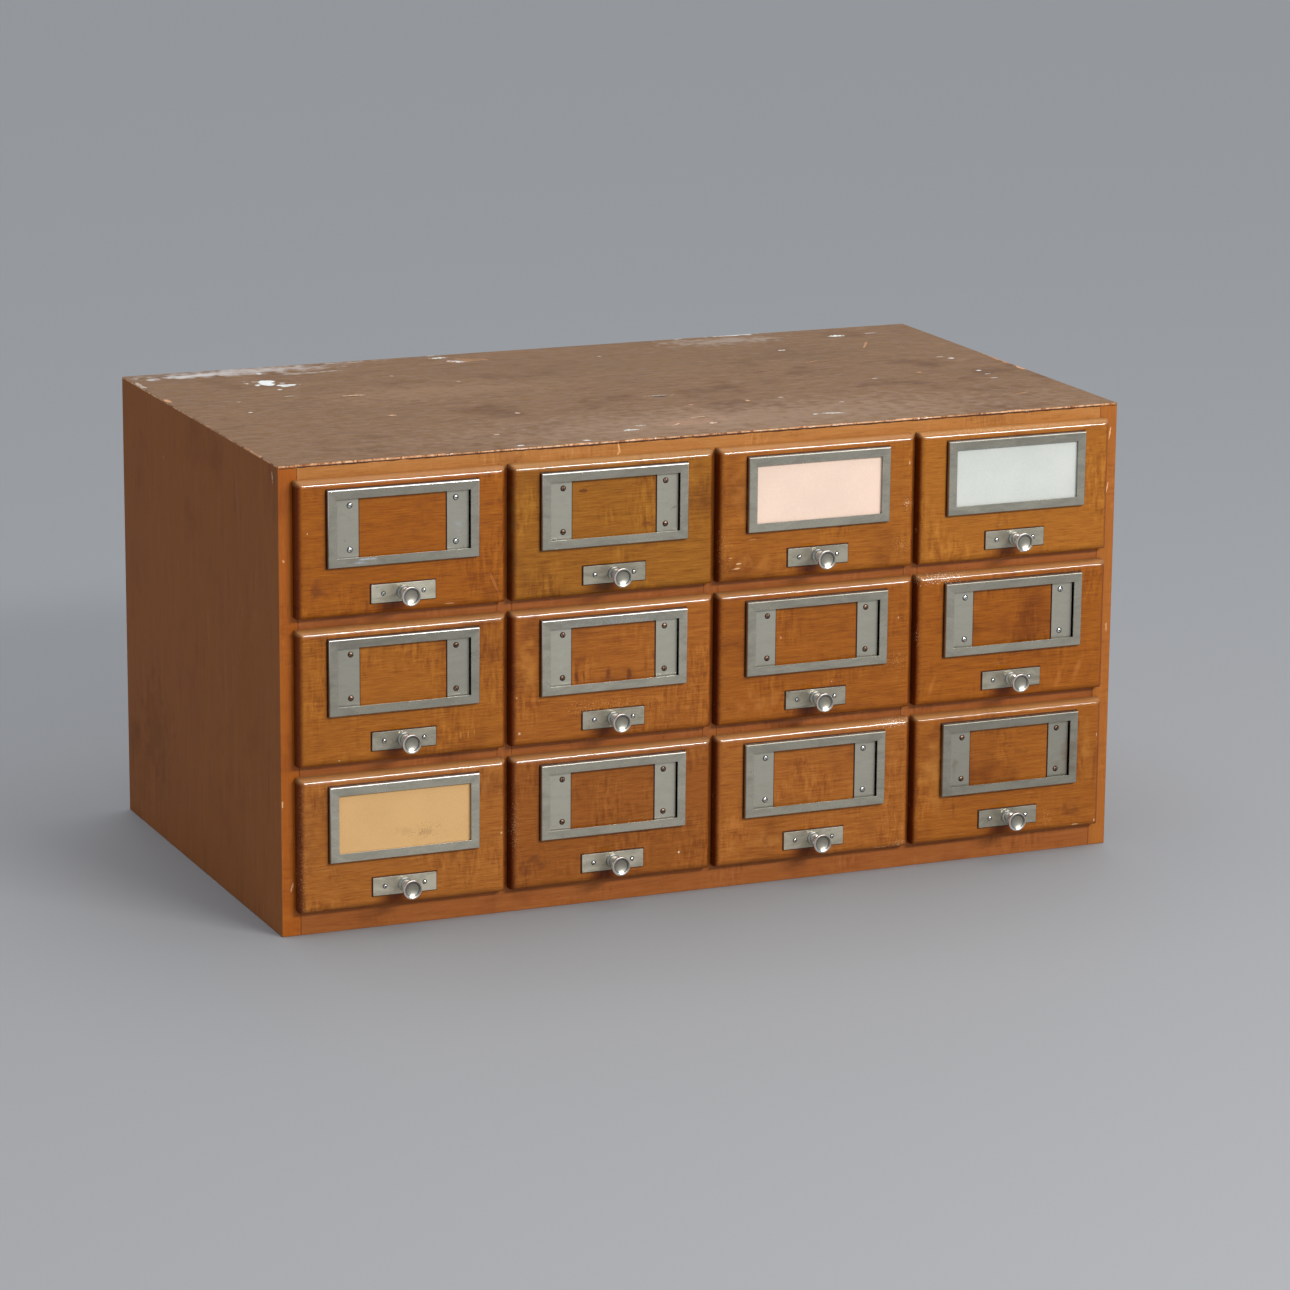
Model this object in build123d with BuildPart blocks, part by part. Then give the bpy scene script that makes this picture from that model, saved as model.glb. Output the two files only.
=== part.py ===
"""Card catalogue cabinet: a tabletop chest of four columns and three rows of card drawers.

The origin is the centre of the underside, +Z is up and the drawers open towards -Y.
"""

from build123d import *
import os

os.makedirs("parts", exist_ok=True)

# Case, in millimetres
case_width = 700
case_depth = 386
case_height = 362
columns = 4
rows = 3
side_thickness = 15
top_thickness = 13.8
veneer_thickness = 1.2
bottom_thickness = 15
partition_thickness = 12
back_thickness = 5
back_rebate = 8
rail_height = 16.5
rail_depth = 40
bottom_rail_height = 23
bottom_rail_depth = 22
runner_width = 12

# Drawer fronts: a lip that laps the frame and a step that enters the opening
front_overlap = 4
front_proud = 10
front_step = 10
front_rounding = 5.5
front_seat_gap = 0.3
step_clearance = 1

# Drawer boxes
box_clearance = 1
box_lift = 0.3
box_side_thickness = 9
box_side_height = 62
box_back_thickness = 9
box_back_height = 62
box_rear_gap = 12
box_bottom_thickness = 3.5
box_bottom_recess = 0.7
box_bottom_rebate = 4.5

# Label holders, folded from thin sheet
holder_width = 120
holder_height = 59
holder_depth = 4
holder_border = 7
holder_sheet = 0.8
holder_top_margin = 7.5
flange_gap = 70

# Label cards, with the drawers that hold one
card_width = 112
card_height = 51
card_thickness = 0.4
card_drawers = ((0, 2), (0, 3), (2, 0))

# Knob plates with the ferrule that guides the card rod
plate_width = 51
plate_height = 14
plate_thickness = 1.5
ferrule_radius = 4.8
ferrule_length = 9

# Card rods and their knobs, the head dished for a fingertip
rod_radius = 3
rod_clearance = 0.25
rod_height = 12
rod_end_gap = 0.3
head_gap = 4
head_radius = 7.5
head_thickness = 4.5
dish_depth = 1.8

# Planes and spans that the pieces share
front_plane = -case_depth / 2
rear_plane = case_depth / 2
back_plane = rear_plane - back_thickness
inner_width = case_width - 2 * side_thickness
panel_height = case_height - veneer_thickness
cells_top = panel_height - top_thickness
cell_width = (inner_width - (columns - 1) * partition_thickness) / columns
cell_height = (cells_top - bottom_rail_height - (rows - 1) * rail_height) / rows
column_pitch = cell_width + partition_thickness
row_pitch = cell_height + rail_height

lip_back = front_plane - front_seat_gap
wood_face = front_plane - front_proud
plate_face = wood_face - plate_thickness
head_back = plate_face - ferrule_length - head_gap
head_face = head_back - head_thickness
box_width = cell_width - 2 * box_clearance
box_inner_width = box_width - 2 * box_side_thickness
box_rear = back_plane - box_rear_gap
box_bottom_top = box_lift + box_bottom_recess + box_bottom_thickness
rod_rear = box_rear - box_back_thickness - rod_end_gap


def cell_x(column):
    """Centre of a column of drawers."""
    return (column - (columns - 1) / 2) * column_pitch


def cell_floor(row):
    """Floor of a row's openings; row 0 is the top one."""
    return cells_top - cell_height - row * row_pitch


def cells_of(row_range):
    """Centres of the openings of some rows, as (x, floor height)."""
    return [(cell_x(column), cell_floor(row)) for row in row_range for column in range(columns)]


def facing_front(y):
    """Upright plane at a depth, drawn with X to the right and Z up, that extrudes towards the front."""
    return Plane.XZ.offset(-y)


# Case

def make_side_panel(side):
    """Full-height side panel, rebated for the back; side is -1 for the left one."""
    with BuildPart() as panel:
        with BuildSketch(Plane.XY):
            with Locations((side * (case_width - side_thickness) / 2, 0)):
                Rectangle(side_thickness, case_depth)
            with Locations((side * (inner_width + back_rebate) / 2, rear_plane - back_thickness / 2)):
                Rectangle(back_rebate, back_thickness, mode=Mode.SUBTRACT)
        extrude(amount=panel_height)
    return panel.part


def make_top_panel():
    """Top panel between the sides, stopping at the back panel."""
    with BuildPart() as panel:
        with BuildSketch(Plane.XY.offset(cells_top)):
            with Locations((0, -back_thickness / 2)):
                Rectangle(inner_width, case_depth - back_thickness)
        extrude(amount=top_thickness)
    return panel.part


def make_top_veneer():
    """Thin facing over the top panel and the sides' upper edges."""
    with BuildPart() as veneer:
        with BuildSketch(Plane.XY.offset(panel_height)):
            Rectangle(case_width, case_depth)
        extrude(amount=veneer_thickness)
    return veneer.part


def make_bottom_panel():
    """Bottom panel between the lowest rail and the back panel."""
    with BuildPart() as panel:
        with BuildSketch(Plane.XY):
            with Locations((0, (bottom_rail_depth - back_thickness) / 2)):
                Rectangle(inner_width, case_depth - bottom_rail_depth - back_thickness)
        extrude(amount=bottom_thickness)
    return panel.part


def make_back_panel():
    """Plywood back, let into the sides' rebates and covering the rear edges of the top and the bottom."""
    with BuildPart() as panel:
        with BuildSketch(facing_front(rear_plane)):
            with Locations((0, panel_height / 2)):
                Rectangle(inner_width + 2 * back_rebate, panel_height)
        extrude(amount=back_thickness)
    return panel.part


def make_column_partitions():
    """Upright partitions whose front edges run through between the rails, notched over the lowest rail."""
    gaps = [cell_x(column) + column_pitch / 2 for column in range(columns - 1)]
    with BuildPart() as partitions:
        with BuildSketch(*[Plane.YZ.offset(x - partition_thickness / 2) for x in gaps]):
            with BuildLine():
                Polyline(
                    (front_plane, bottom_rail_height),
                    (front_plane + bottom_rail_depth, bottom_rail_height),
                    (front_plane + bottom_rail_depth, bottom_thickness),
                    (back_plane, bottom_thickness),
                    (back_plane, cells_top),
                    (front_plane, cells_top),
                    close=True,
                )
            make_face()
        extrude(amount=partition_thickness)
    return partitions.part


def make_front_rails():
    """Lowest rail between the sides and a short rail under each upper opening."""
    with BuildPart() as rails:
        with BuildSketch(facing_front(front_plane)):
            with Locations((0, bottom_rail_height / 2)):
                Rectangle(inner_width, bottom_rail_height)
        extrude(amount=-bottom_rail_depth)
        with BuildSketch(facing_front(front_plane)):
            with Locations([(x, floor - rail_height / 2) for x, floor in cells_of(range(rows - 1))]):
                Rectangle(cell_width, rail_height)
        extrude(amount=-rail_depth)
    return rails.part


def make_drawer_runners():
    """Strips along both sides of each opening that the drawers slide on."""
    offset = (cell_width - runner_width) / 2
    low_height = bottom_rail_height - bottom_thickness
    with BuildPart() as runners:
        with BuildSketch(facing_front(back_plane)):
            for x, floor in cells_of(range(rows - 1)):
                with Locations((x - offset, floor - rail_height / 2), (x + offset, floor - rail_height / 2)):
                    Rectangle(runner_width, rail_height)
        extrude(amount=back_plane - front_plane - rail_depth)
        with BuildSketch(facing_front(back_plane)):
            for x, floor in cells_of([rows - 1]):
                with Locations((x - offset, floor - low_height / 2), (x + offset, floor - low_height / 2)):
                    Rectangle(runner_width, low_height)
        extrude(amount=back_plane - front_plane - bottom_rail_depth)
    return runners.part


# Drawers

def make_drawer_front(x, floor):
    """Lipped board: its edges rounded at the front, its step seated between the drawer sides."""
    lip_centre = (x, floor + cell_height / 2)
    step_bottom = floor + box_bottom_top
    step_top = floor + cell_height - step_clearance
    with BuildPart() as front:
        with BuildSketch(facing_front(lip_back)):
            with Locations(lip_centre):
                Rectangle(cell_width + 2 * front_overlap, cell_height + 2 * front_overlap)
        extrude(amount=lip_back - wood_face)
        fillet(front.faces().sort_by(Axis.Y)[0].edges(), radius=front_rounding)
        with BuildSketch(facing_front(lip_back)):
            with Locations((x, (step_bottom + step_top) / 2)):
                Rectangle(box_inner_width, step_top - step_bottom)
        extrude(amount=-(front_plane + front_step - lip_back))
        with BuildSketch(facing_front(wood_face)):
            with Locations((x, floor + rod_height)):
                Circle(rod_radius + rod_clearance)
        extrude(amount=-(front_plane + front_step - wood_face), mode=Mode.SUBTRACT)
    return front.part


def make_drawer_box(x, floor):
    """Two sides, a back between them and a thin bottom nailed up into the sides' rebates."""
    underside = floor + box_lift
    bottom_low = underside + box_bottom_recess
    bottom_high = floor + box_bottom_top
    side_offset = (box_width - box_side_thickness) / 2
    rebate_offset = (box_inner_width + box_bottom_rebate) / 2
    with BuildPart() as box:
        with BuildSketch(facing_front(lip_back)):
            with Locations((x - side_offset, underside + box_side_height / 2),
                           (x + side_offset, underside + box_side_height / 2)):
                Rectangle(box_side_thickness, box_side_height)
            with Locations((x - rebate_offset, (underside + bottom_high) / 2),
                           (x + rebate_offset, (underside + bottom_high) / 2)):
                Rectangle(box_bottom_rebate, bottom_high - underside, mode=Mode.SUBTRACT)
        extrude(amount=-(box_rear - lip_back))
    with BuildPart() as back:
        with BuildSketch(facing_front(box_rear)):
            with Locations((x, (bottom_high + underside + box_back_height) / 2)):
                Rectangle(box_inner_width, underside + box_back_height - bottom_high)
        extrude(amount=box_back_thickness)
    with BuildPart() as bottom:
        with BuildSketch(facing_front(box_rear)):
            with Locations((x, (bottom_low + bottom_high) / 2)):
                Rectangle(box_inner_width + 2 * box_bottom_rebate, box_bottom_thickness)
        extrude(amount=box_rear - lip_back)
    return Compound(children=[*box.part.solids(), *back.part.solids(), *bottom.part.solids()])


# Fittings

def holder_centre(floor):
    """Height of a label holder's centre on its front."""
    return floor + cell_height + front_overlap - holder_top_margin - holder_height / 2


def make_front_fittings(x, floor):
    """Folded label holder with its two screw flanges, and the plate with the rod's ferrule."""
    inner_height = holder_height - 2 * holder_sheet
    centre = (x, holder_centre(floor))
    with BuildPart() as holder:
        with BuildSketch(facing_front(wood_face)):
            with Locations(centre):
                Rectangle(holder_width, holder_height)
        extrude(amount=holder_depth)
        with BuildSketch(facing_front(wood_face - holder_sheet)):
            with Locations(centre):
                Rectangle(holder_width - 2 * holder_sheet, inner_height)
        extrude(amount=holder_depth - 2 * holder_sheet, mode=Mode.SUBTRACT)
        with BuildSketch(facing_front(wood_face - holder_depth)):
            with Locations(centre):
                Rectangle(holder_width - 2 * holder_border, holder_height - 2 * holder_border)
        extrude(amount=-holder_sheet, mode=Mode.SUBTRACT)
        with BuildSketch(facing_front(wood_face)):
            with Locations(centre):
                Rectangle(flange_gap, inner_height)
        extrude(amount=holder_sheet, mode=Mode.SUBTRACT)
    with BuildPart() as plate:
        with BuildSketch(facing_front(wood_face)):
            with Locations((x, floor + rod_height)):
                Rectangle(plate_width, plate_height)
        extrude(amount=plate_thickness)
        with BuildSketch(facing_front(plate_face)):
            with Locations((x, floor + rod_height)):
                Circle(ferrule_radius)
        extrude(amount=ferrule_length)
        with BuildSketch(facing_front(wood_face)):
            with Locations((x, floor + rod_height)):
                Circle(rod_radius + rod_clearance)
        extrude(amount=plate_thickness + ferrule_length, mode=Mode.SUBTRACT)
    return Compound(children=[*holder.part.solids(), *plate.part.solids()])


def make_label_card(x, floor):
    """Blank card standing in the holder, against its flanges."""
    card_bottom = holder_centre(floor) - holder_height / 2 + holder_sheet
    with BuildPart() as card:
        with BuildSketch(facing_front(wood_face - holder_sheet)):
            with Locations((x, card_bottom + card_height / 2)):
                Rectangle(card_width, card_height)
        extrude(amount=card_thickness)
    return card.part


def make_card_rod(x, floor):
    """Rod that runs through the cards up to the drawer's back, turned with its dished knob."""
    axis = Axis((x, head_face, floor + rod_height), (0, 1, 0))
    with BuildPart() as rod:
        with BuildSketch(Plane(axis.position, x_dir=(0, 1, 0), z_dir=(1, 0, 0))):
            with BuildLine():
                Polyline(
                    (dish_depth, 0),
                    (0, head_radius),
                    (head_thickness, head_radius),
                    (head_thickness, rod_radius),
                    (rod_rear - head_face, rod_radius),
                    (rod_rear - head_face, 0),
                    close=True,
                )
            make_face()
        revolve(axis=axis)
    return rod.part


def save(part, name):
    part.label = name
    export_step(part, f"parts/{name}.step")


save(make_side_panel(-1), "left_side_panel")
save(make_side_panel(1), "right_side_panel")
save(make_top_panel(), "top_panel")
save(make_top_veneer(), "top_veneer")
save(make_bottom_panel(), "bottom_panel")
save(make_back_panel(), "back_panel")
save(make_column_partitions(), "column_partitions")
save(make_front_rails(), "front_rails")
save(make_drawer_runners(), "drawer_runners")

for row in range(rows):
    for column in range(columns):
        place = f"r{row + 1}c{column + 1}"
        x, floor = cell_x(column), cell_floor(row)
        save(make_drawer_front(x, floor), f"drawer_front_{place}")
        save(make_drawer_box(x, floor), f"drawer_box_{place}")
        save(make_front_fittings(x, floor), f"front_fittings_{place}")
        save(make_card_rod(x, floor), f"card_rod_{place}")
        if (row, column) in card_drawers:
            save(make_label_card(x, floor), f"label_card_{place}")
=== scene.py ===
"""The looks of the card catalogue cabinet: worn stained wood, folded label holders and turned knobs."""

import math
import random

import bmesh
import bpy
from mathutils import Matrix, Vector, noise


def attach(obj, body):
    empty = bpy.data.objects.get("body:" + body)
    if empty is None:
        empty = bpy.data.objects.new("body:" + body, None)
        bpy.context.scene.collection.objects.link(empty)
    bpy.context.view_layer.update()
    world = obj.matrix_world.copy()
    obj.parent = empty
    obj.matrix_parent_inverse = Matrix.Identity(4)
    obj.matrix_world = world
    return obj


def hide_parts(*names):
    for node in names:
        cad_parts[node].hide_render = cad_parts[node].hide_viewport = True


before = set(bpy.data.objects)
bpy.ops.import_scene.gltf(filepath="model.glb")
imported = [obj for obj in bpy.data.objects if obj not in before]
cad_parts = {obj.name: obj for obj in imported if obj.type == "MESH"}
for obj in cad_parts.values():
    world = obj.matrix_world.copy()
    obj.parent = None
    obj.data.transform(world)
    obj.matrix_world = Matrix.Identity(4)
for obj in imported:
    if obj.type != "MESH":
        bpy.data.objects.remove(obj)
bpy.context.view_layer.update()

# Dimensions in metres, as the part has them
MM = 0.001
case_width = 700 * MM
case_depth = 386 * MM
case_height = 362 * MM
side_thickness = 15 * MM
top_thickness = 13.8 * MM
veneer_thickness = 1.2 * MM
partition_thickness = 12 * MM
rail_height = 16.5 * MM
bottom_rail_height = 23 * MM
columns = 4
rows = 3

front_overlap = 4 * MM
front_proud = 10 * MM
front_step = 10 * MM
front_rounding = 5.5 * MM
front_seat_gap = 0.3 * MM
step_width = 138.5 * MM
step_above_floor = 4.5 * MM
step_clearance = 1 * MM

holder_width = 120 * MM
holder_height = 59 * MM
holder_depth = 4 * MM
holder_border = 7 * MM
holder_sheet = 0.8 * MM
holder_top_margin = 7.5 * MM
flange_gap = 70 * MM
fold_radius = 0.9 * MM
card_width = 112 * MM
card_height = 51 * MM
card_thickness = 0.4 * MM

holder_screw_x = 42 * MM
holder_screw_z = 16.8 * MM
plate_width = 51 * MM
plate_height = 14 * MM
plate_thickness = 1.5 * MM
plate_screw_x = 16 * MM
rod_radius = 3 * MM
rod_end = 166.7 * MM
bore_radius = 3.25 * MM
rod_height = 12 * MM
ferrule_length = 9 * MM
head_gap = 4 * MM
head_thickness = 4.5 * MM

case_left, case_right = -case_width / 2, case_width / 2
front_plane, rear_plane = -case_depth / 2, case_depth / 2
cells_top = case_height - veneer_thickness - top_thickness
cell_width = (case_width - 2 * side_thickness - (columns - 1) * partition_thickness) / columns
cell_height = (cells_top - bottom_rail_height - (rows - 1) * rail_height) / rows
column_pitch = cell_width + partition_thickness
row_pitch = cell_height + rail_height
front_width = cell_width + 2 * front_overlap
front_height = cell_height + 2 * front_overlap
lip_back = front_plane - front_seat_gap
wood_face = front_plane - front_proud
plate_face = wood_face - plate_thickness
head_face = plate_face - ferrule_length - head_gap - head_thickness


def cell_x(column):
    """Centre of a column of drawers."""
    return (column - (columns - 1) / 2) * column_pitch


def cell_floor(row):
    """Floor of a row's openings; row 0 is the top one."""
    return cells_top - cell_height - row * row_pitch


def holder_centre(floor):
    """Height of a label holder's centre."""
    return floor + cell_height + front_overlap - holder_top_margin - holder_height / 2


places = [(row, column) for row in range(rows) for column in range(columns)]


def place_name(row, column):
    return f"r{row + 1}c{column + 1}"


# a piece that repeats is modelled at row 1 column 1 and copied from there
home_x, home_floor = cell_x(0), cell_floor(0)
home_rod = home_floor + rod_height


def cell_shift(row, column):
    """The way from the drawer of row 1 column 1 to another."""
    return Matrix.Translation((cell_x(column) - home_x, 0, cell_floor(row) - home_floor))


# Modelling


def clear_selection():
    if bpy.context.object and bpy.context.object.mode != "OBJECT":
        bpy.ops.object.mode_set(mode="OBJECT")
    bpy.ops.object.select_all(action="DESELECT")


def take(piece):
    """Makes a piece the only one selected."""
    clear_selection()
    piece.select_set(True)
    bpy.context.view_layer.objects.active = piece
    return piece


def edit(piece):
    take(piece)
    bpy.ops.object.mode_set(mode="EDIT")


def end_edit():
    bpy.ops.object.mode_set(mode="OBJECT")


def pick(kind, test):
    """Selects the vertices, edges or faces of the piece being edited that pass the test."""
    bpy.ops.mesh.select_mode(type=kind)
    bpy.ops.mesh.select_all(action="DESELECT")
    mesh = bmesh.from_edit_mesh(bpy.context.object.data)
    elements = {"VERT": mesh.verts, "EDGE": mesh.edges, "FACE": mesh.faces}[kind]
    for element in elements:
        if test(element):
            element.select_set(True)
    mesh.select_flush_mode()
    bmesh.update_edit_mesh(bpy.context.object.data)


def pick_all():
    bpy.ops.mesh.select_all(action="SELECT")


def face_outward():
    """Turns all the faces of the piece being edited outward."""
    pick_all()
    bpy.ops.mesh.normals_make_consistent(inside=False)


def round_off(test, width, segments):
    """Rounds the edges of the piece being edited that pass the test."""
    pick("EDGE", test)
    bpy.ops.mesh.bevel(offset=width, segments=segments, profile=0.5, affect="EDGES")


def at(value, wanted, slack=0.00002):
    return abs(value - wanted) < slack


def along(edge, axis):
    """Whether an edge runs along an axis: 0, 1 or 2."""
    way = (edge.verts[1].co - edge.verts[0].co).normalized()
    return abs(way[axis]) > 0.999


def edge_middle(edge):
    return (edge.verts[0].co + edge.verts[1].co) / 2


def extrude(x=0, y=0, z=0):
    bpy.ops.mesh.extrude_region_move(TRANSFORM_OT_translate={"value": (x, y, z)})


def place_in_mesh(piece, name):
    """Leaves the piece's object at the origin, unturned and unscaled."""
    take(piece)
    bpy.ops.object.transform_apply(location=True, rotation=True, scale=True)
    piece.name = name
    return piece


def add_block(name, low, high):
    """A block between two corners, for shaping."""
    clear_selection()
    low, high = Vector(low), Vector(high)
    bpy.ops.mesh.primitive_cube_add(size=1, location=(low + high) / 2)
    block = bpy.context.object
    block.scale = high - low
    return place_in_mesh(block, name)


def finish_with(piece, kind, **settings):
    """Adds a modifier and applies it."""
    take(piece)
    modifier = piece.modifiers.new(kind.title(), kind)
    for key, value in settings.items():
        setattr(modifier, key, value)
    bpy.ops.object.modifier_apply(modifier=modifier.name)
    return piece


def ease_edges(piece, width, segments=2, angle=30):
    return finish_with(
        piece,
        "BEVEL",
        width=width,
        segments=segments,
        limit_method="ANGLE",
        angle_limit=math.radians(angle),
        harden_normals=False,
    )


def smooth(piece, angle=32, lathed=False):
    """Shades the roundings as round; on a piece that isn't from the lathe the large faces stay flat."""
    take(piece)
    bpy.ops.object.shade_smooth_by_angle(angle=math.radians(angle))
    return piece if lathed else finish_with(piece, "WEIGHTED_NORMAL", weight=100, keep_sharp=True)


def cut_away(piece, cutter):
    """Cuts one closed piece out of another."""
    finish_with(piece, "BOOLEAN", operation="DIFFERENCE", solver="EXACT", object=cutter)
    bpy.data.objects.remove(cutter, do_unlink=True)
    return piece


def copy_piece(source, name, matrix):
    """A copy with its own mesh, moved in its mesh."""
    piece = source.copy()
    piece.data = source.data.copy()
    piece.data.transform(matrix)
    piece.name = name
    bpy.context.scene.collection.objects.link(piece)
    return piece


def join(pieces, name):
    clear_selection()
    for piece in pieces:
        piece.select_set(True)
    bpy.context.view_layer.objects.active = pieces[0]
    bpy.ops.object.join()
    pieces[0].name = name
    return pieces[0]


def turn_wall(x, z, stations, sides):
    """Starts a piece turned about an axis along Y; it stays in edit mode with its ends open."""
    clear_selection()
    y, radius = stations[0]
    bpy.ops.mesh.primitive_circle_add(
        vertices=sides, radius=radius, location=(x, y, z), rotation=(math.pi / 2, 0, 0)
    )
    piece = bpy.context.object
    bpy.ops.object.transform_apply(location=True, rotation=True, scale=True)
    edit(piece)
    pick_all()
    for (last_y, last_radius), (next_y, next_radius) in zip(stations, stations[1:]):
        extrude(y=next_y - last_y)
        growth = next_radius / last_radius
        bpy.ops.transform.resize(value=(growth, 1, growth), center_override=(x, next_y, z))
    return piece


def end_turning(piece, name):
    face_outward()
    end_edit()
    piece.name = name
    return piece


def turned(name, x, z, stations, sides=48):
    """A solid turned about an axis along Y. Stations are (y, radius), from one end to the other."""
    piece = turn_wall(x, z, stations, sides)
    bpy.ops.mesh.edge_face_add()
    pick("EDGE", lambda e: e.is_boundary)
    bpy.ops.mesh.edge_face_add()
    return end_turning(piece, name)


def turned_tube(name, x, z, stations, sides=48):
    """A turned piece whose last station meets the first, such as a collar with a bore."""
    piece = turn_wall(x, z, stations, sides)
    pick("EDGE", lambda e: e.is_boundary)
    bpy.ops.mesh.bridge_edge_loops()
    return end_turning(piece, name)


def arc(centre_y, centre_radius, size, start, end, steps):
    """Stations round an arc; angles in degrees, 0 towards +Y and 90 away from the axis."""
    angles = [math.radians(start + (end - start) * step / steps) for step in range(steps + 1)]
    return [(centre_y + size * math.cos(a), centre_radius + size * math.sin(a)) for a in angles]


def profile(start, *points):
    """Stations from points in millimetres: the way from start along Y, and the radius."""
    return [(start + y * MM, radius * MM) for y, radius in points]


def copy_of_node(node, name):
    """A copy of a CAD node's mesh as clean flat faces."""
    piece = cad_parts[node].copy()
    piece.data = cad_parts[node].data.copy()
    piece.parent = None
    for key in list(piece.keys()):
        if key.startswith("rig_"):
            del piece[key]
    piece.name = name
    piece.data.materials.clear()
    bpy.context.scene.collection.objects.link(piece)
    edit(piece)
    pick_all()
    bpy.ops.mesh.remove_doubles(threshold=0.000005)
    bpy.ops.mesh.dissolve_limited(angle_limit=math.radians(1))
    end_edit()
    return piece


def add_numbers(piece, *names):
    """Gives a piece's points numbers, such as its grime with painted shade and highlight, that its material
    reads; all start at 0.
    """
    for name in names:
        piece.data.attributes.new(name, "FLOAT", "POINT")
    return [piece.data.attributes[name].data for name in names]


def mark_board(piece, number_at):
    """Gives each board its own number, so that its grain differs from its neighbours'."""
    (boards,) = add_numbers(piece, "board")
    boards.foreach_set("value", [number_at(v.co) for v in piece.data.vertices])


def give_tone(piece, tone):
    """Makes a whole steel piece brighter or darker than its kind, by a part: painted light for what it
    reflects, along with its own tarnish.
    """
    (tones,) = add_numbers(piece, "tone")
    tones.foreach_set("value", [tone] * len(piece.data.vertices))


def dress(piece, material, body, slot, *nodes):
    """Gives a finished piece its material and its body and hides the nodes that it stands for; the slot is
    not used.
    """
    piece.data.materials.clear()
    piece.data.materials.append(material)
    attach(piece, body)
    if nodes:
        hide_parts(*nodes)
    return piece


# Materials: helpers


def stain(red, green, blue):
    """A colour as it is seen, 0 to 255, for a shader."""

    def linear(c):
        c /= 255
        return c / 12.92 if c <= 0.04045 else ((c + 0.055) / 1.055) ** 2.4

    return (linear(red), linear(green), linear(blue), 1)


def feed(tree, socket, value):
    """Joins a socket to another, or gives it a plain value."""
    if isinstance(value, bpy.types.NodeSocket):
        tree.links.new(value, socket)
    elif value is not None:
        socket.default_value = value


def feed_all(tree, node, **values):
    """Feeds a node's inputs; their names have underscores for spaces."""
    for key, value in values.items():
        feed(tree, node.inputs[key.replace("_", " ")], value)
    return node


def add_node(tree, kind, **values):
    """Places a node of Blender's own."""
    return feed_all(tree, tree.nodes.new(f"ShaderNode{kind}"), **values)


def add_group(tree, group, **values):
    """Places a node group."""
    node = tree.nodes.new("ShaderNodeGroup")
    node.node_tree = group
    return feed_all(tree, node, **values)


def calculate(tree, operation, *values, clamp=False):
    node = tree.nodes.new("ShaderNodeMath")
    node.operation = operation
    node.use_clamp = clamp
    for socket, value in zip(node.inputs, values):
        feed(tree, socket, value)
    return node.outputs[0]


def calculate_vector(tree, operation, *values, output=0):
    node = tree.nodes.new("ShaderNodeVectorMath")
    node.operation = operation
    for socket, value in zip(node.inputs, values):
        feed(tree, socket, value)
    return node.outputs[output]


def plus(tree, value, other, share, clamp=False):
    """A value with a share of another added to it."""
    return calculate(tree, "ADD", value, calculate(tree, "MULTIPLY", other, share), clamp=clamp)


def swing(tree, value, amount):
    """How far a value is above or below a half, times an amount."""
    return calculate(tree, "MULTIPLY", calculate(tree, "SUBTRACT", value, 0.5), amount)


def scaled(tree, vector, amount):
    """A vector or colour times one number."""
    node = tree.nodes.new("ShaderNodeVectorMath")
    node.operation = "SCALE"
    feed(tree, node.inputs[0], vector)
    feed(tree, node.inputs["Scale"], amount)
    return node.outputs[0]


def split(tree, vector):
    """The X, Y and Z of a vector."""
    return add_node(tree, "SeparateXYZ", Vector=vector).outputs


def own_number(tree, name):
    """A number that the piece's points carry."""
    node = tree.nodes.new("ShaderNodeAttribute")
    node.attribute_name = name
    return node.outputs["Fac"]


def clouds(tree, vector, scale, detail=3, roughness=0.5, distortion=0):
    """Soft noise from 0 to 1."""
    settings = {"Detail": detail, "Roughness": roughness, "Distortion": distortion}
    return add_node(tree, "TexNoise", Vector=vector, Scale=scale, **settings).outputs["Fac"]


def spread(tree, value, low, high, new_low=0.0, new_high=1.0):
    """Takes a value from one range to another with soft ends."""
    ends = {"From Min": low, "From Max": high, "To Min": new_low, "To Max": new_high}
    node = add_node(tree, "MapRange", Value=value, **ends)
    node.interpolation_type = "SMOOTHSTEP"
    return node.outputs["Result"]


def blend(tree, amount, first, second, way="MIX"):
    """Mixes two colours."""
    node = tree.nodes.new("ShaderNodeMix")
    node.data_type = "RGBA"
    node.blend_type = way
    feed(tree, node.inputs["Factor"], amount)
    feed(tree, node.inputs[6], first)
    feed(tree, node.inputs[7], second)
    return node.outputs[2]


def tinted(tree, colour, *tint):
    """A colour darkened by a stain over it."""
    return blend(tree, 1.0, colour, stain(*tint), "MULTIPLY")


def start_group(name, results, **inputs):
    """A node group: each input's kind follows from its value, and all results but a colour are numbers."""
    group = bpy.data.node_groups.new(name, "ShaderNodeTree")
    for key, value in inputs.items():
        kind = "Float" if isinstance(value, float) else "Color" if len(value) == 4 else "Vector"
        label = key.replace("_", " ")
        socket = group.interface.new_socket(name=label, in_out="INPUT", socket_type=f"NodeSocket{kind}")
        socket.default_value = value
    for label in results:
        kind = "Color" if label == "Colour" else "Float"
        group.interface.new_socket(name=label, in_out="OUTPUT", socket_type=f"NodeSocket{kind}")
    entry = group.nodes.new("NodeGroupInput")
    leave = group.nodes.new("NodeGroupOutput")
    return group, entry.outputs, leave.inputs


# Materials: shared effects


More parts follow.
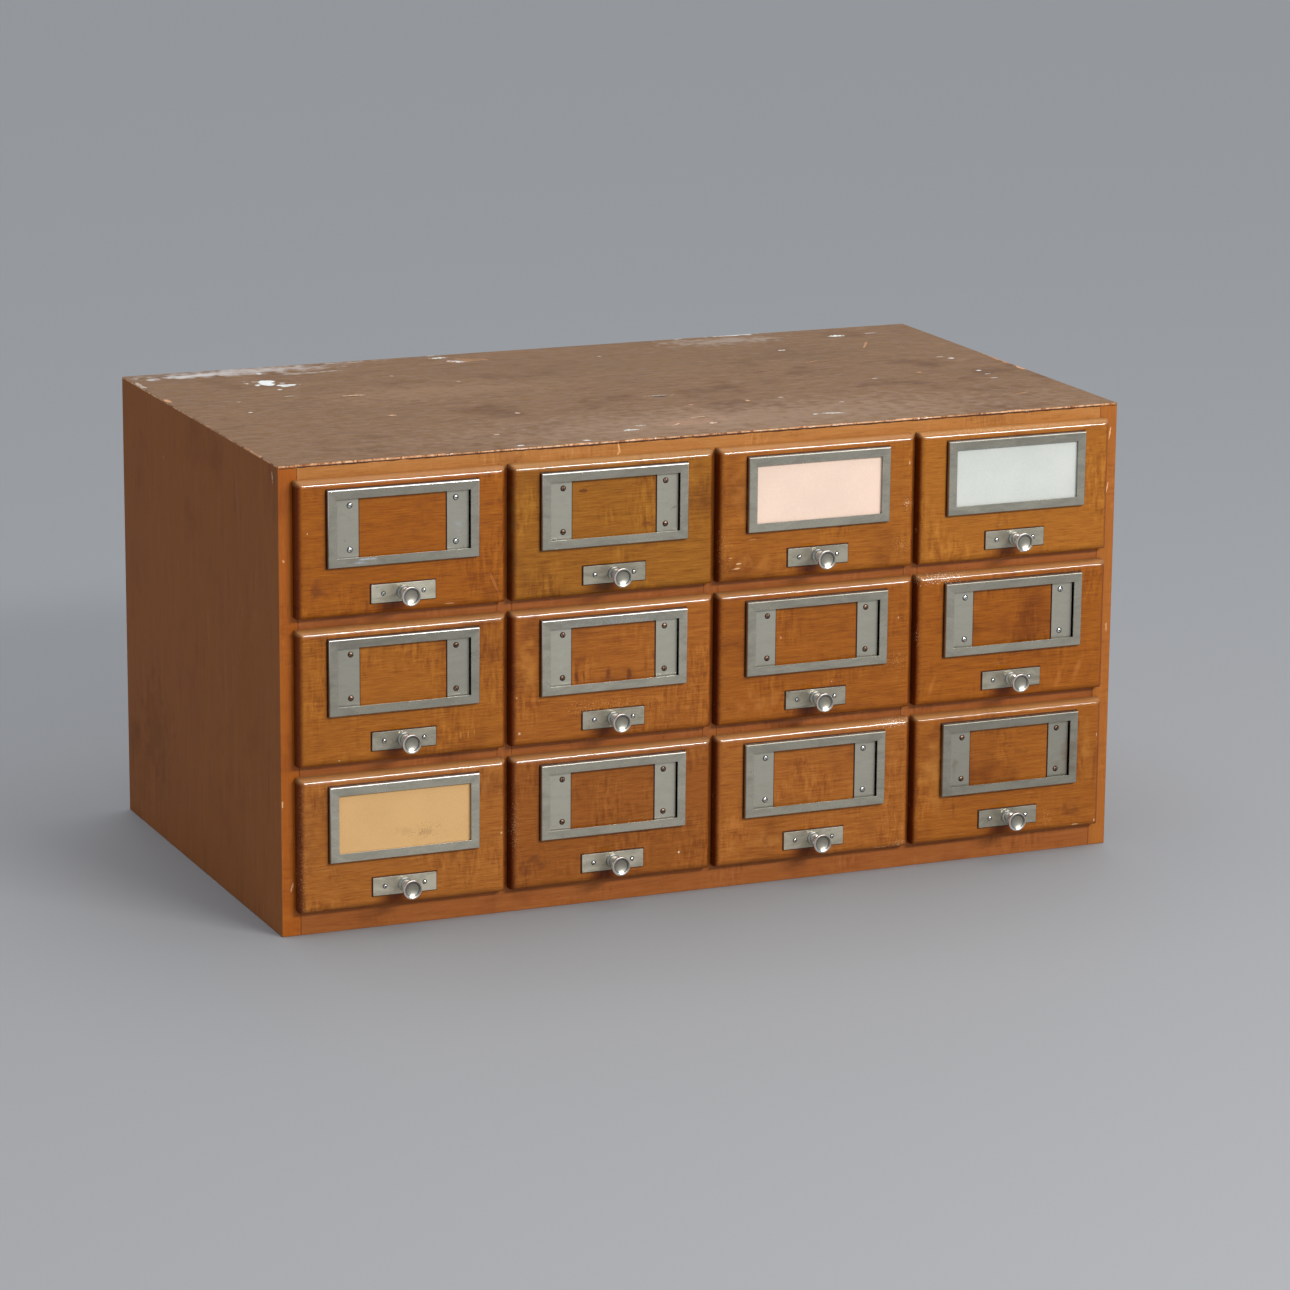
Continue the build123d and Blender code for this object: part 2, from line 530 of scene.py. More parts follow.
def make_stained_grain():
    """Fibres, broad streaks, cross figure and darker clouds; the grain runs along X of the vector."""
    tree, given, gives = start_group(
        "stained grain",
        ("Colour", "Height", "Dullness"),
        Vector=(0, 0, 0),
        Deep=stain(120, 60, 20),
        Middle=stain(165, 95, 38),
        Pale=stain(190, 120, 55),
        Fibres=0.5,
        Streaks=0.7,
        Figure=0.4,
        Clouding=0.3,
    )
    # each board is cut from another part of the wood
    away = scaled(tree, (3.71, 1.37, 2.29), own_number(tree, "board"))
    vector = calculate_vector(tree, "ADD", given["Vector"], away)
    fine = calculate_vector(tree, "MULTIPLY", vector, (1, 16, 16))
    fibres = clouds(tree, fine, 60, detail=6, roughness=0.75)
    broad = calculate_vector(tree, "MULTIPLY", vector, (1, 13, 13))
    streaks = clouds(tree, broad, 17, detail=5, roughness=0.65, distortion=0.3)
    crossing = calculate_vector(tree, "MULTIPLY", vector, (11, 2.5, 2.5))
    ripples = clouds(tree, crossing, 27, detail=4, roughness=0.65, distortion=0.3)
    patches = spread(tree, clouds(tree, vector, 21, detail=2), 0.45, 0.65)
    figure = calculate(tree, "ADD", swing(tree, ripples, patches), 0.5)
    cloud = clouds(tree, vector, 15, detail=3, roughness=0.6)
    pore_space = calculate_vector(tree, "MULTIPLY", vector, (1, 9, 9))
    pores = spread(tree, clouds(tree, pore_space, 260, detail=2), 0.62, 0.74)
    tone = 0.5
    for value, amount in ((fibres, "Fibres"), (streaks, "Streaks"), (figure, "Figure")):
        tone = calculate(tree, "ADD", tone, swing(tree, value, given[amount]))
    tone = plus(tree, tone, pores, -0.12)
    lower = blend(tree, spread(tree, tone, 0.25, 0.52), given["Deep"], given["Middle"])
    colour = blend(tree, spread(tree, tone, 0.48, 0.80), lower, given["Pale"])
    shade = calculate(tree, "MULTIPLY", spread(tree, cloud, 0.52, 0.74), given["Clouding"])
    feed(tree, gives["Colour"], blend(tree, shade, colour, tinted(tree, colour, 168, 140, 120)))
    feed(tree, gives["Height"], plus(tree, fibres, pores, -0.5))
    feed(tree, gives["Dullness"], spread(tree, streaks, 0.3, 0.75))
    return tree


def make_mark():
    """One chip, fleck, stain or scratch: a ragged oval about a place, turned in its plane."""
    tree, given, gives = start_group(
        "surface mark",
        ("Mask",),
        Vector=(0, 0, 0),
        Rough=0.0,
        Place=(0, 0, 0),
        Half_size=(0.01, 0.01, 0.01),
        Axis=(0, 0, 1),
        Turn=0.0,
        Ragged=0.8,
        Sparse=0.0,
        Inside=0.75,
    )
    away = calculate_vector(tree, "SUBTRACT", given["Vector"], given["Place"])
    turn = add_node(tree, "VectorRotate", Vector=away, Axis=given["Axis"], Angle=given["Turn"])
    turn.rotation_type = "AXIS_ANGLE"
    sized = calculate_vector(tree, "DIVIDE", turn.outputs[0], given["Half size"])
    distance = calculate_vector(tree, "LENGTH", sized, output=1)
    level = plus(tree, distance, given["Rough"], given["Ragged"])
    level = calculate(tree, "ADD", level, given["Sparse"])
    feed(tree, gives["Mask"], spread(tree, level, 1.0, given["Inside"]))
    return tree


def make_edge_distance():
    """How far a point on a box's face is from the nearest of that face's edges."""
    tree, given, gives = start_group(
        "edge distance", ("Distance",), Vector=(0, 0, 0), Low=(0, 0, 0), High=(1, 1, 1)
    )
    above = calculate_vector(tree, "SUBTRACT", given["Vector"], given["Low"])
    below = calculate_vector(tree, "SUBTRACT", given["High"], given["Vector"])
    x, y, z = split(tree, calculate_vector(tree, "MINIMUM", above, below))
    total, most, least = (
        calculate(tree, way, calculate(tree, way, x, y), z) for way in ("ADD", "MAXIMUM", "MINIMUM")
    )
    # on a face one of the three is 0, so the middle one is the way to the nearest edge
    middle = calculate(tree, "SUBTRACT", calculate(tree, "SUBTRACT", total, most), least)
    feed(tree, gives["Distance"], middle)
    return tree


def make_front_distance():
    """How far a point on a drawer front is from its outline, its left, right and top, and the steel.

    The vector is the front's own face map.
    """
    tree, given, gives = start_group(
        "front outline distance", ("Distance", "Left", "Right", "Top", "Steel"), Vector=(0, 0, 0)
    )
    x, z, _ = split(tree, given["Vector"])
    left = calculate(tree, "ADD", x, front_width / 2)
    right = calculate(tree, "SUBTRACT", front_width / 2, x)
    up = calculate(tree, "SUBTRACT", front_height / 2, calculate(tree, "ABSOLUTE", z))
    nearest = calculate(tree, "MINIMUM", calculate(tree, "MINIMUM", left, right), up)

    def from_box(width, height, centre):
        """How far from a box's outline, inside it or outside."""
        beside = calculate(tree, "SUBTRACT", calculate(tree, "ABSOLUTE", x), width / 2)
        above = calculate(tree, "ABSOLUTE", calculate(tree, "SUBTRACT", z, centre))
        above = calculate(tree, "SUBTRACT", above, height / 2)
        return calculate(tree, "ABSOLUTE", calculate(tree, "MAXIMUM", beside, above))

    holder_z = holder_centre(0) - cell_height / 2
    steel = calculate(
        tree,
        "MINIMUM",
        from_box(holder_width, holder_height, holder_z),
        from_box(plate_width, plate_height, rod_height - cell_height / 2),
    )
    window = from_box(flange_gap, holder_height, holder_z)
    feed(tree, gives["Distance"], nearest)
    feed(tree, gives["Left"], left)
    feed(tree, gives["Right"], right)
    feed(tree, gives["Top"], calculate(tree, "SUBTRACT", front_height / 2, z))
    feed(tree, gives["Steel"], calculate(tree, "MINIMUM", steel, window))
    return tree


def make_edge_wear():
    """Ragged bare wood close to the edges, and a few specks further in."""
    tree, given, gives = start_group(
        "edge wear", ("Mask",), Vector=(0, 0, 0), Distance=0.0, Reach=0.002, Amount=0.5, Specks=0.3
    )
    grit = clouds(tree, given["Vector"], 480, detail=4, roughness=0.6)
    patch = clouds(tree, given["Vector"], 60, detail=3, roughness=0.6)
    near = spread(tree, given["Distance"], given["Reach"], 0.0)
    # patches where the edge was rubbed, eaten into by the grit
    rub = calculate(tree, "MULTIPLY", spread(tree, patch, 0.5, 0.72), near)
    worn = spread(tree, plus(tree, grit, rub, given["Amount"]), 0.92, 1.0)
    limit = plus(tree, 1.02, given["Specks"], -0.16)
    specks = spread(tree, calculate(tree, "SUBTRACT", plus(tree, grit, patch, 0.35), limit), 0.0, 0.03)
    feed(tree, gives["Mask"], calculate(tree, "MAXIMUM", worn, specks))
    return tree


def make_plating():
    """Brushed plating with smears, spots of tarnish and fine pits; brushed along X of the vector."""
    tree, given, gives = start_group(
        "worn plating",
        ("Colour", "Dullness", "Height"),
        Vector=(0, 0, 0),
        Bright=stain(200, 200, 194),
        Dark=stain(150, 152, 148),
        Tarnish=stain(120, 105, 80),
        Smears=0.5,
        Spots=0.3,
    )
    brushed = calculate_vector(tree, "MULTIPLY", given["Vector"], (1, 18, 18))
    lines = clouds(tree, brushed, 130, detail=5, roughness=0.75)
    smear_space = calculate_vector(tree, "MULTIPLY", given["Vector"], (1, 2.6, 2.6))
    smears = clouds(tree, smear_space, 42, detail=4, roughness=0.65, distortion=0.5)
    spots = spread(tree, clouds(tree, given["Vector"], 260, detail=4, roughness=0.7), 0.62, 0.74)
    mist = clouds(tree, given["Vector"], 30, detail=3)
    tone = calculate(tree, "MULTIPLY", spread(tree, smears, 0.35, 0.72), given["Smears"])
    tone = calculate(tree, "ADD", tone, swing(tree, lines, 0.5), clamp=True)
    colour = blend(tree, tone, given["Bright"], given["Dark"])
    stained = calculate(tree, "MULTIPLY", calculate(tree, "MULTIPLY", spots, given["Spots"]), mist)
    colour = blend(tree, stained, colour, given["Tarnish"])
    feed(tree, gives["Colour"], colour)
    feed(tree, gives["Dullness"], plus(tree, smears, stained, 0.6))
    feed(tree, gives["Height"], plus(tree, lines, spots, -0.6))
    return tree


stained_grain = make_stained_grain()
surface_mark = make_mark()
edge_distance = make_edge_distance()
front_distance = make_front_distance()
edge_wear = make_edge_wear()
worn_plating = make_plating()


def start_material(name):
    material = bpy.data.materials.new(name)
    material.use_nodes = True
    tree = material.node_tree
    tree.nodes.clear()
    output = tree.nodes.new("ShaderNodeOutputMaterial")
    shader = tree.nodes.new("ShaderNodeBsdfPrincipled")
    tree.links.new(shader.outputs[0], output.inputs[0])
    return material, tree, shader


def object_place(tree):
    return tree.nodes.new("ShaderNodeTexCoord").outputs["Object"]


def turned_vector(tree, vector, axis=None):
    """The vector with the wood's long way, 1 for Y or 2 for Z, brought to X."""
    turns = {None: (0, 0, 0), 1: (0, 0, -math.pi / 2), 2: (0, math.pi / 2, 0)}
    return add_node(tree, "Mapping", Vector=vector, Rotation=turns[axis]).outputs[0]


def bump(tree, shader, height, depth, strength=1.0, normal="Normal"):
    node = add_node(tree, "Bump", Height=height, Distance=depth, Strength=strength)
    tree.links.new(node.outputs[0], shader.inputs[normal])


def add_marks(tree, place, colour, marks):
    """Lays marks over a colour; one more ragged than 1 is a scatter of small chips."""
    if not marks:
        return colour
    coarse, fine, grainy = (
        swing(tree, clouds(tree, place, scale, detail=4), 4) for scale in (110, 420, 1100)
    )
    for axis, position, half_size, turn, tint, strength, ragged, inside in marks:
        scatter = ragged > 1
        mask = add_group(
            tree,
            surface_mark,
            Vector=place,
            Rough=grainy if scatter else coarse if max(half_size) > 0.012 else fine,
            Place=position,
            Half_size=half_size,
            Axis=axis,
            Turn=turn,
            Ragged=ragged * 3 if scatter else ragged,
            Sparse=ragged if scatter else 0.0,
            Inside=inside,
        ).outputs[0]
        colour = blend(tree, calculate(tree, "MULTIPLY", mask, strength), colour, stain(*tint))
    return colour


def fade_in_patches(tree, place, colour):
    """Greyer and browner patches, left by dust and daylight."""
    long_space = calculate_vector(tree, "MULTIPLY", place, (1, 2.2, 1))
    patch = clouds(tree, long_space, 80, detail=6, roughness=0.75)
    greyer = tinted(tree, colour, 234, 233, 244)
    browner = tinted(tree, colour, 222, 208, 186)
    return blend(tree, spread(tree, patch, 0.36, 0.64), greyer, browner)


def paint_front_shade_and_sheen(tree, face, colour, left_shade_reach, left, right, top, steel):
    """Painted shade on a front's upright roundings, a painted shadow line round its steel, a painted shadow
    under its knob and a painted sheen with some dust on its lip.
    """
    # painted shade on the left and right roundings, and a painted shadow line round the steel
    for near, reach, tint in (
        (left, left_shade_reach, (170, 128, 104)),
        (right, 0.0045, (196, 166, 144)),
        (steel, 0.0013, (96, 66, 50)),
    ):
        colour = blend(tree, spread(tree, near, reach, reach / 5), colour, tinted(tree, colour, *tint))
    # a painted shadow under the knob
    knob_shadow = add_group(
        tree,
        surface_mark,
        Vector=face,
        Place=(-0.006, rod_height - cell_height / 2 - 0.010, 0),
        Half_size=(0.022, 0.011, 1),
        Inside=0.0,
    ).outputs[0]
    colour = blend(tree, knob_shadow, colour, tinted(tree, colour, 186, 150, 126))
    # painted sheen with some dust: the lip's upper side is paler and greyer
    return blend(tree, spread(tree, top, 0.005, 0.002, 0.0, 0.5), colour, stain(172, 127, 80))


def polished_rounding(tree, left, top):
    """1 on a front's top rounding, which keeps a polish but for its arris and its left end."""
    polish = spread(tree, top, 0.0058, 0.0045)
    for limit in (spread(tree, top, 0.0012, 0.0028), spread(tree, left, 0.002, 0.006)):
        polish = calculate(tree, "MULTIPLY", polish, limit)
    return polish


def wood_material(
    name,
    colours,
    axis=None,
    low=None,
    high=None,
    wear=0.5,
    reach=0.002,
    specks=0.3,
    fibres=0.6,
    streaks=0.5,
    figure=0.8,
    clouding=0.5,
    faded=False,
    bare=(214, 160, 112),
    gloss=(0.38, 0.52),
    coat=0.25,
    left_shade_reach=0.0,
    lustre=1.0,
    marks=(),
):
    """Stained and lacquered wood; low and high are the corners of the box whose edges are worn.

    Without them it is a front's, with painted shade, shadows and sheen laid on: the shade reach is how far
    the painted shade of its left rounding reaches, and lustre the polish of its top rounding.
    """
    material, tree, shader = start_material(name)
    place = object_place(tree)
    deep, middle, pale = colours
    grain = add_group(
        tree,
        stained_grain,
        Vector=turned_vector(tree, place, axis),
        Deep=stain(*deep),
        Middle=stain(*middle),
        Pale=stain(*pale),
        Fibres=fibres,
        Streaks=streaks,
        Figure=figure,
        Clouding=clouding,
    ).outputs
    colour = grain["Colour"]
    if faded:
        colour = fade_in_patches(tree, place, colour)
    if low is None:
        face_map = tree.nodes.new("ShaderNodeUVMap")
        face_map.uv_map = "face"
        face = face_map.outputs[0]
        distance, left, right, top, steel = add_group(tree, front_distance, Vector=face).outputs
        # painted shade and shadows on the front, and a painted sheen on its lip
        colour = paint_front_shade_and_sheen(tree, face, colour, left_shade_reach, left, right, top, steel)
        polish = polished_rounding(tree, left, top)
        coat = spread(tree, polish, 0.0, 1.0, coat, lustre)
    else:
        distance = add_group(tree, edge_distance, Vector=place, Low=low, High=high).outputs[0]
    worn = add_group(
        tree, edge_wear, Vector=place, Distance=distance, Reach=reach, Amount=wear, Specks=specks
    ).outputs[0]
    colour = blend(tree, worn, colour, stain(*bare))
    rough = spread(tree, grain["Dullness"], 0.0, 1.0, *gloss)
    feed_all(
        tree,
        shader,
        Base_Color=add_marks(tree, place, colour, marks),
        Roughness=plus(tree, rough, worn, 0.25, clamp=True),
        Specular_IOR_Level=0.05,
        Coat_Weight=coat,
        Coat_IOR=1.6,
        Coat_Roughness=0.04,
    )
    height = plus(tree, grain["Height"], worn, -1.6)
    bump(tree, shader, height, 0.0001)
    bump(tree, shader, height, 0.0001, 0.12, "Coat Normal")
    return material


# Marks of use, in millimetres

paint = (232, 232, 226)
dust = (190, 178, 166)
raw_wood = (214, 164, 120)
soot = (84, 52, 28)
dark_stain = (102, 48, 16)
pale_chip = (226, 178, 130)
AXES = {"top": (0, 0, 1), "front": (0, 1, 0), "side": (1, 0, 0)}


def mark(plane, a, b, long, wide, turn=0, tint=raw_wood, strength=1.0, ragged=0.7, inside=0.7):
    """A mark on the case: a and b are X and Y on the top, X and Z in front and Y and Z on the left.

    Inside is the part of its half size within which it is full; at 0 it fades from its middle.
    """
    long, wide, deep = long * MM / 2, wide * MM / 2, 0.006
    if plane == "top":
        position, half_size = (a * MM, b * MM, case_height), (long, wide, deep)
    elif plane == "front":
        position, half_size = (a * MM, front_plane, b * MM), (long, deep, wide)
    else:
        position, half_size = (case_left, a * MM, b * MM), (deep, long, wide)
    return AXES[plane], position, half_size, math.radians(turn), tint, strength, ragged, inside


def front_mark(row, column, a, b, *rest, **settings):
    """A mark on a drawer front or its steel, from the front's centre; it is deep enough for both."""
    x = cell_x(column - 1) / MM + a
    z = (cell_floor(row - 1) + cell_height / 2) / MM + b
    axis, position, half_size, *others = mark("front", x, z, *rest, **settings)
    half_size = (half_size[0], 0.02, half_size[2])
    return (axis, position, half_size, *others)


top_marks = [
    # the dull front third and the browner back
    (40, -150, 700, 170, 0, (174, 147, 124), 0.35, 0.5, 0.0),
    (60, 110, 560, 160, 0, (124, 98, 70), 0.4, 0.7, 0.0),
    (-140, 40, 260, 90, 0, (160, 126, 96), 0.35, 0.7, 0.0),
    (190, 90, 200, 50, 0, (112, 86, 62), 0.4, 0.9, 0.0),
    # white paint
    (-250, 124, 27, 22, 30, paint, 1.0, 1.0),
    (-240, 111, 26, 9, 12, paint, 1.0, 1.0),
    (-243, 165, 5, 6, 0, paint, 0.9, 0.5),
    (-250, 94, 5, 4, 0, paint, 0.8, 0.5),
    (-252, 65, 9, 3, 0, dust, 0.7),
    (-302, 12, 5, 3, 0, paint, 0.9, 0.5),
    (-297, 56, 4, 3, 0, dust, 0.7),
    # the chip with a raised edge
    (-203, 50, 20, 5, 5, (206, 170, 134), 0.9),
    (-205, 46, 12, 4, 0, soot, 0.8),
    (-203, -38, 7, 4, 0, (226, 176, 142), 0.9),
    (-240, -67, 24, 1.2, -15, (176, 138, 108), 0.6),
    (-146, 118, 4, 4, 0, dust, 0.6),
    (-109, -64, 5, 5, 0, (206, 178, 158), 0.9),
    (-104, 77, 4, 4, 0, dust, 0.6),
    # haze along the back
    (-296, 175, 100, 15, -3, (214, 210, 206), 0.85, 0.6, 0.1),
    (-255, 180, 210, 44, 0, (194, 184, 176), 0.75, 0.5, 0.0),
    (-205, 155, 60, 8, 0, dust, 0.45, 0.9, 0.3),
    (-165, 188, 60, 8, 0, dust, 0.45, 0.9, 0.3),
    # flakes near the back edge
    (-82, 180, 14, 5, 0, paint, 0.9, 0.9),
    (-74, 160, 16, 7, 30, paint, 0.9, 0.9),
    (-64, 165, 36, 22, 0, (176, 128, 88), 0.6, 0.8, 0.2),
    (-84, 192, 12, 3, 0, paint, 0.8),
    (138, 192, 8, 3, 0, paint, 0.8),
    (188, 191, 42, 4, 0, paint, 0.9),
    (170, 170, 130, 44, 0, (166, 150, 136), 0.6, 0.7, 0.1),
    (158, 176, 44, 4, -20, (132, 96, 62), 0.7),
    (200, 180, 30, 4, -20, (132, 96, 62), 0.7),
    (45, 140, 4, 3, 0, dust, 0.8),
    # the dark chip and the rubbed patch in front
    (22, -41, 15, 5, 0, (70, 60, 54), 0.9, 0.5),
    (22, -36, 22, 3, 0, dust, 0.6),
    (-46, -42, 9, 3, 20, (96, 74, 56), 0.7),
    (5, -145, 84, 26, -6, (178, 134, 106), 0.4, 0.8, 0.1),
    (17, -129, 16, 1.6, -4, (232, 186, 152), 0.9),
    (-11, -150, 12, 2, -40, (232, 190, 160), 0.9),
    (17, -155, 6, 4, 0, (236, 206, 184), 1.0),
    (-53, -158, 13, 5, 0, paint, 0.8, 0.9),
    (-39, -145, 9, 4, 0, dust, 0.9, 0.9),
    (-100, -184, 6, 4, 0, paint, 0.8),
    (-154, -184, 7, 4, 0, paint, 0.8),
    (-155, -138, 5, 4, 0, (214, 182, 158), 0.8),
    (31, -81, 5, 4, 0, (196, 140, 116), 0.8),
    (80, -81, 5, 4, 0, (226, 170, 130), 0.9),
    # the right half
    (270, 158, 15, 7, 0, paint, 1.0, 0.6),
    (302, 160, 14, 4, 0, dust, 0.6),
    (198, 112, 7, 3, 0, paint, 0.9),
    (273, 108, 34, 2, -60, (196, 140, 100), 0.7),
    (198, 55, 16, 2, -20, (196, 140, 100), 0.7),
    (261, -19, 6, 5, 0, (190, 140, 98), 0.8),
    (215, -31, 5, 5, 0, dust, 0.7),
    (110, -78, 5, 4, 0, dust, 0.9),
    (147, -113, 5, 4, 0, dust, 0.8),
    (121, -152, 20, 3, 14, paint, 1.0, 0.5),
    (106, -151, 5, 3, 0, paint, 0.9),
    (314, 29, 6, 4, 0, paint, 1.0),
    (308, 38, 6, 3, 0, dust, 0.9),
    (310, -29, 6, 4, 0, paint, 1.0),
    (310, -45, 5, 4, 0, dust, 0.9),
    (307, -63, 7, 5, 0, dust, 0.8),
    (298, -130, 16, 2, -20, (196, 146, 104), 0.7),
    (348, -30, 4, 18, 0, (224, 160, 118), 0.9),
    (349, 10, 4, 60, 0, (206, 150, 112), 0.7, 0.9),
    (-348, 80, 6, 16, 0, (214, 156, 112), 0.9),
    (-348, 150, 5, 30, 0, (196, 180, 164), 0.7, 0.9),
]
side_marks = [
    mark("side", -97, 327, 1.1, 66, 13, (156, 112, 80), 0.8, 0.15),
    mark("side", -181, 352, 1.4, 9, 10, paint, 0.8),
    mark("side", 85, 316, 4, 3, 0, (170, 128, 96), 0.6),
    mark("side", -120, 180, 90, 160, 0, (150, 84, 34), 0.3, 0.8, 0.0),
    mark("side", 120, 90, 110, 120, 0, (110, 62, 28), 0.3, 0.8, 0.0),
]
facing_seam = mark("front", 0, 360.4, 6000, 2.0, 0, (70, 36, 16), 0.95, 0.5, 0.6)
rail_marks = [
    facing_seam,
    # a pale bent scratch
    mark("front", -77.2, 356, 1.7, 9, 12, (222, 168, 108), 0.9, 0.2),
    mark("front", -78.2, 351.5, 1.5, 7, -22, (222, 168, 108), 0.9, 0.2),
]
stile_marks = [
    facing_seam,
    mark("front", 344, 338, 1.4, 13, -9, (226, 172, 120), 0.9, 0.4),
    mark("front", 343, 294, 1.3, 11, -12, (226, 172, 120), 0.9, 0.4),
    mark("front", 346, 180, 2.0, 7, 0, (220, 164, 112), 0.7),
    mark("front", -349, 104, 2.0, 6, 0, (222, 176, 130), 0.9),
    mark("front", -342, 38, 1.6, 9, -14, (222, 176, 130), 0.8),
    mark("front", -346, 290, 2, 2, 0, (220, 164, 112), 0.8),
]

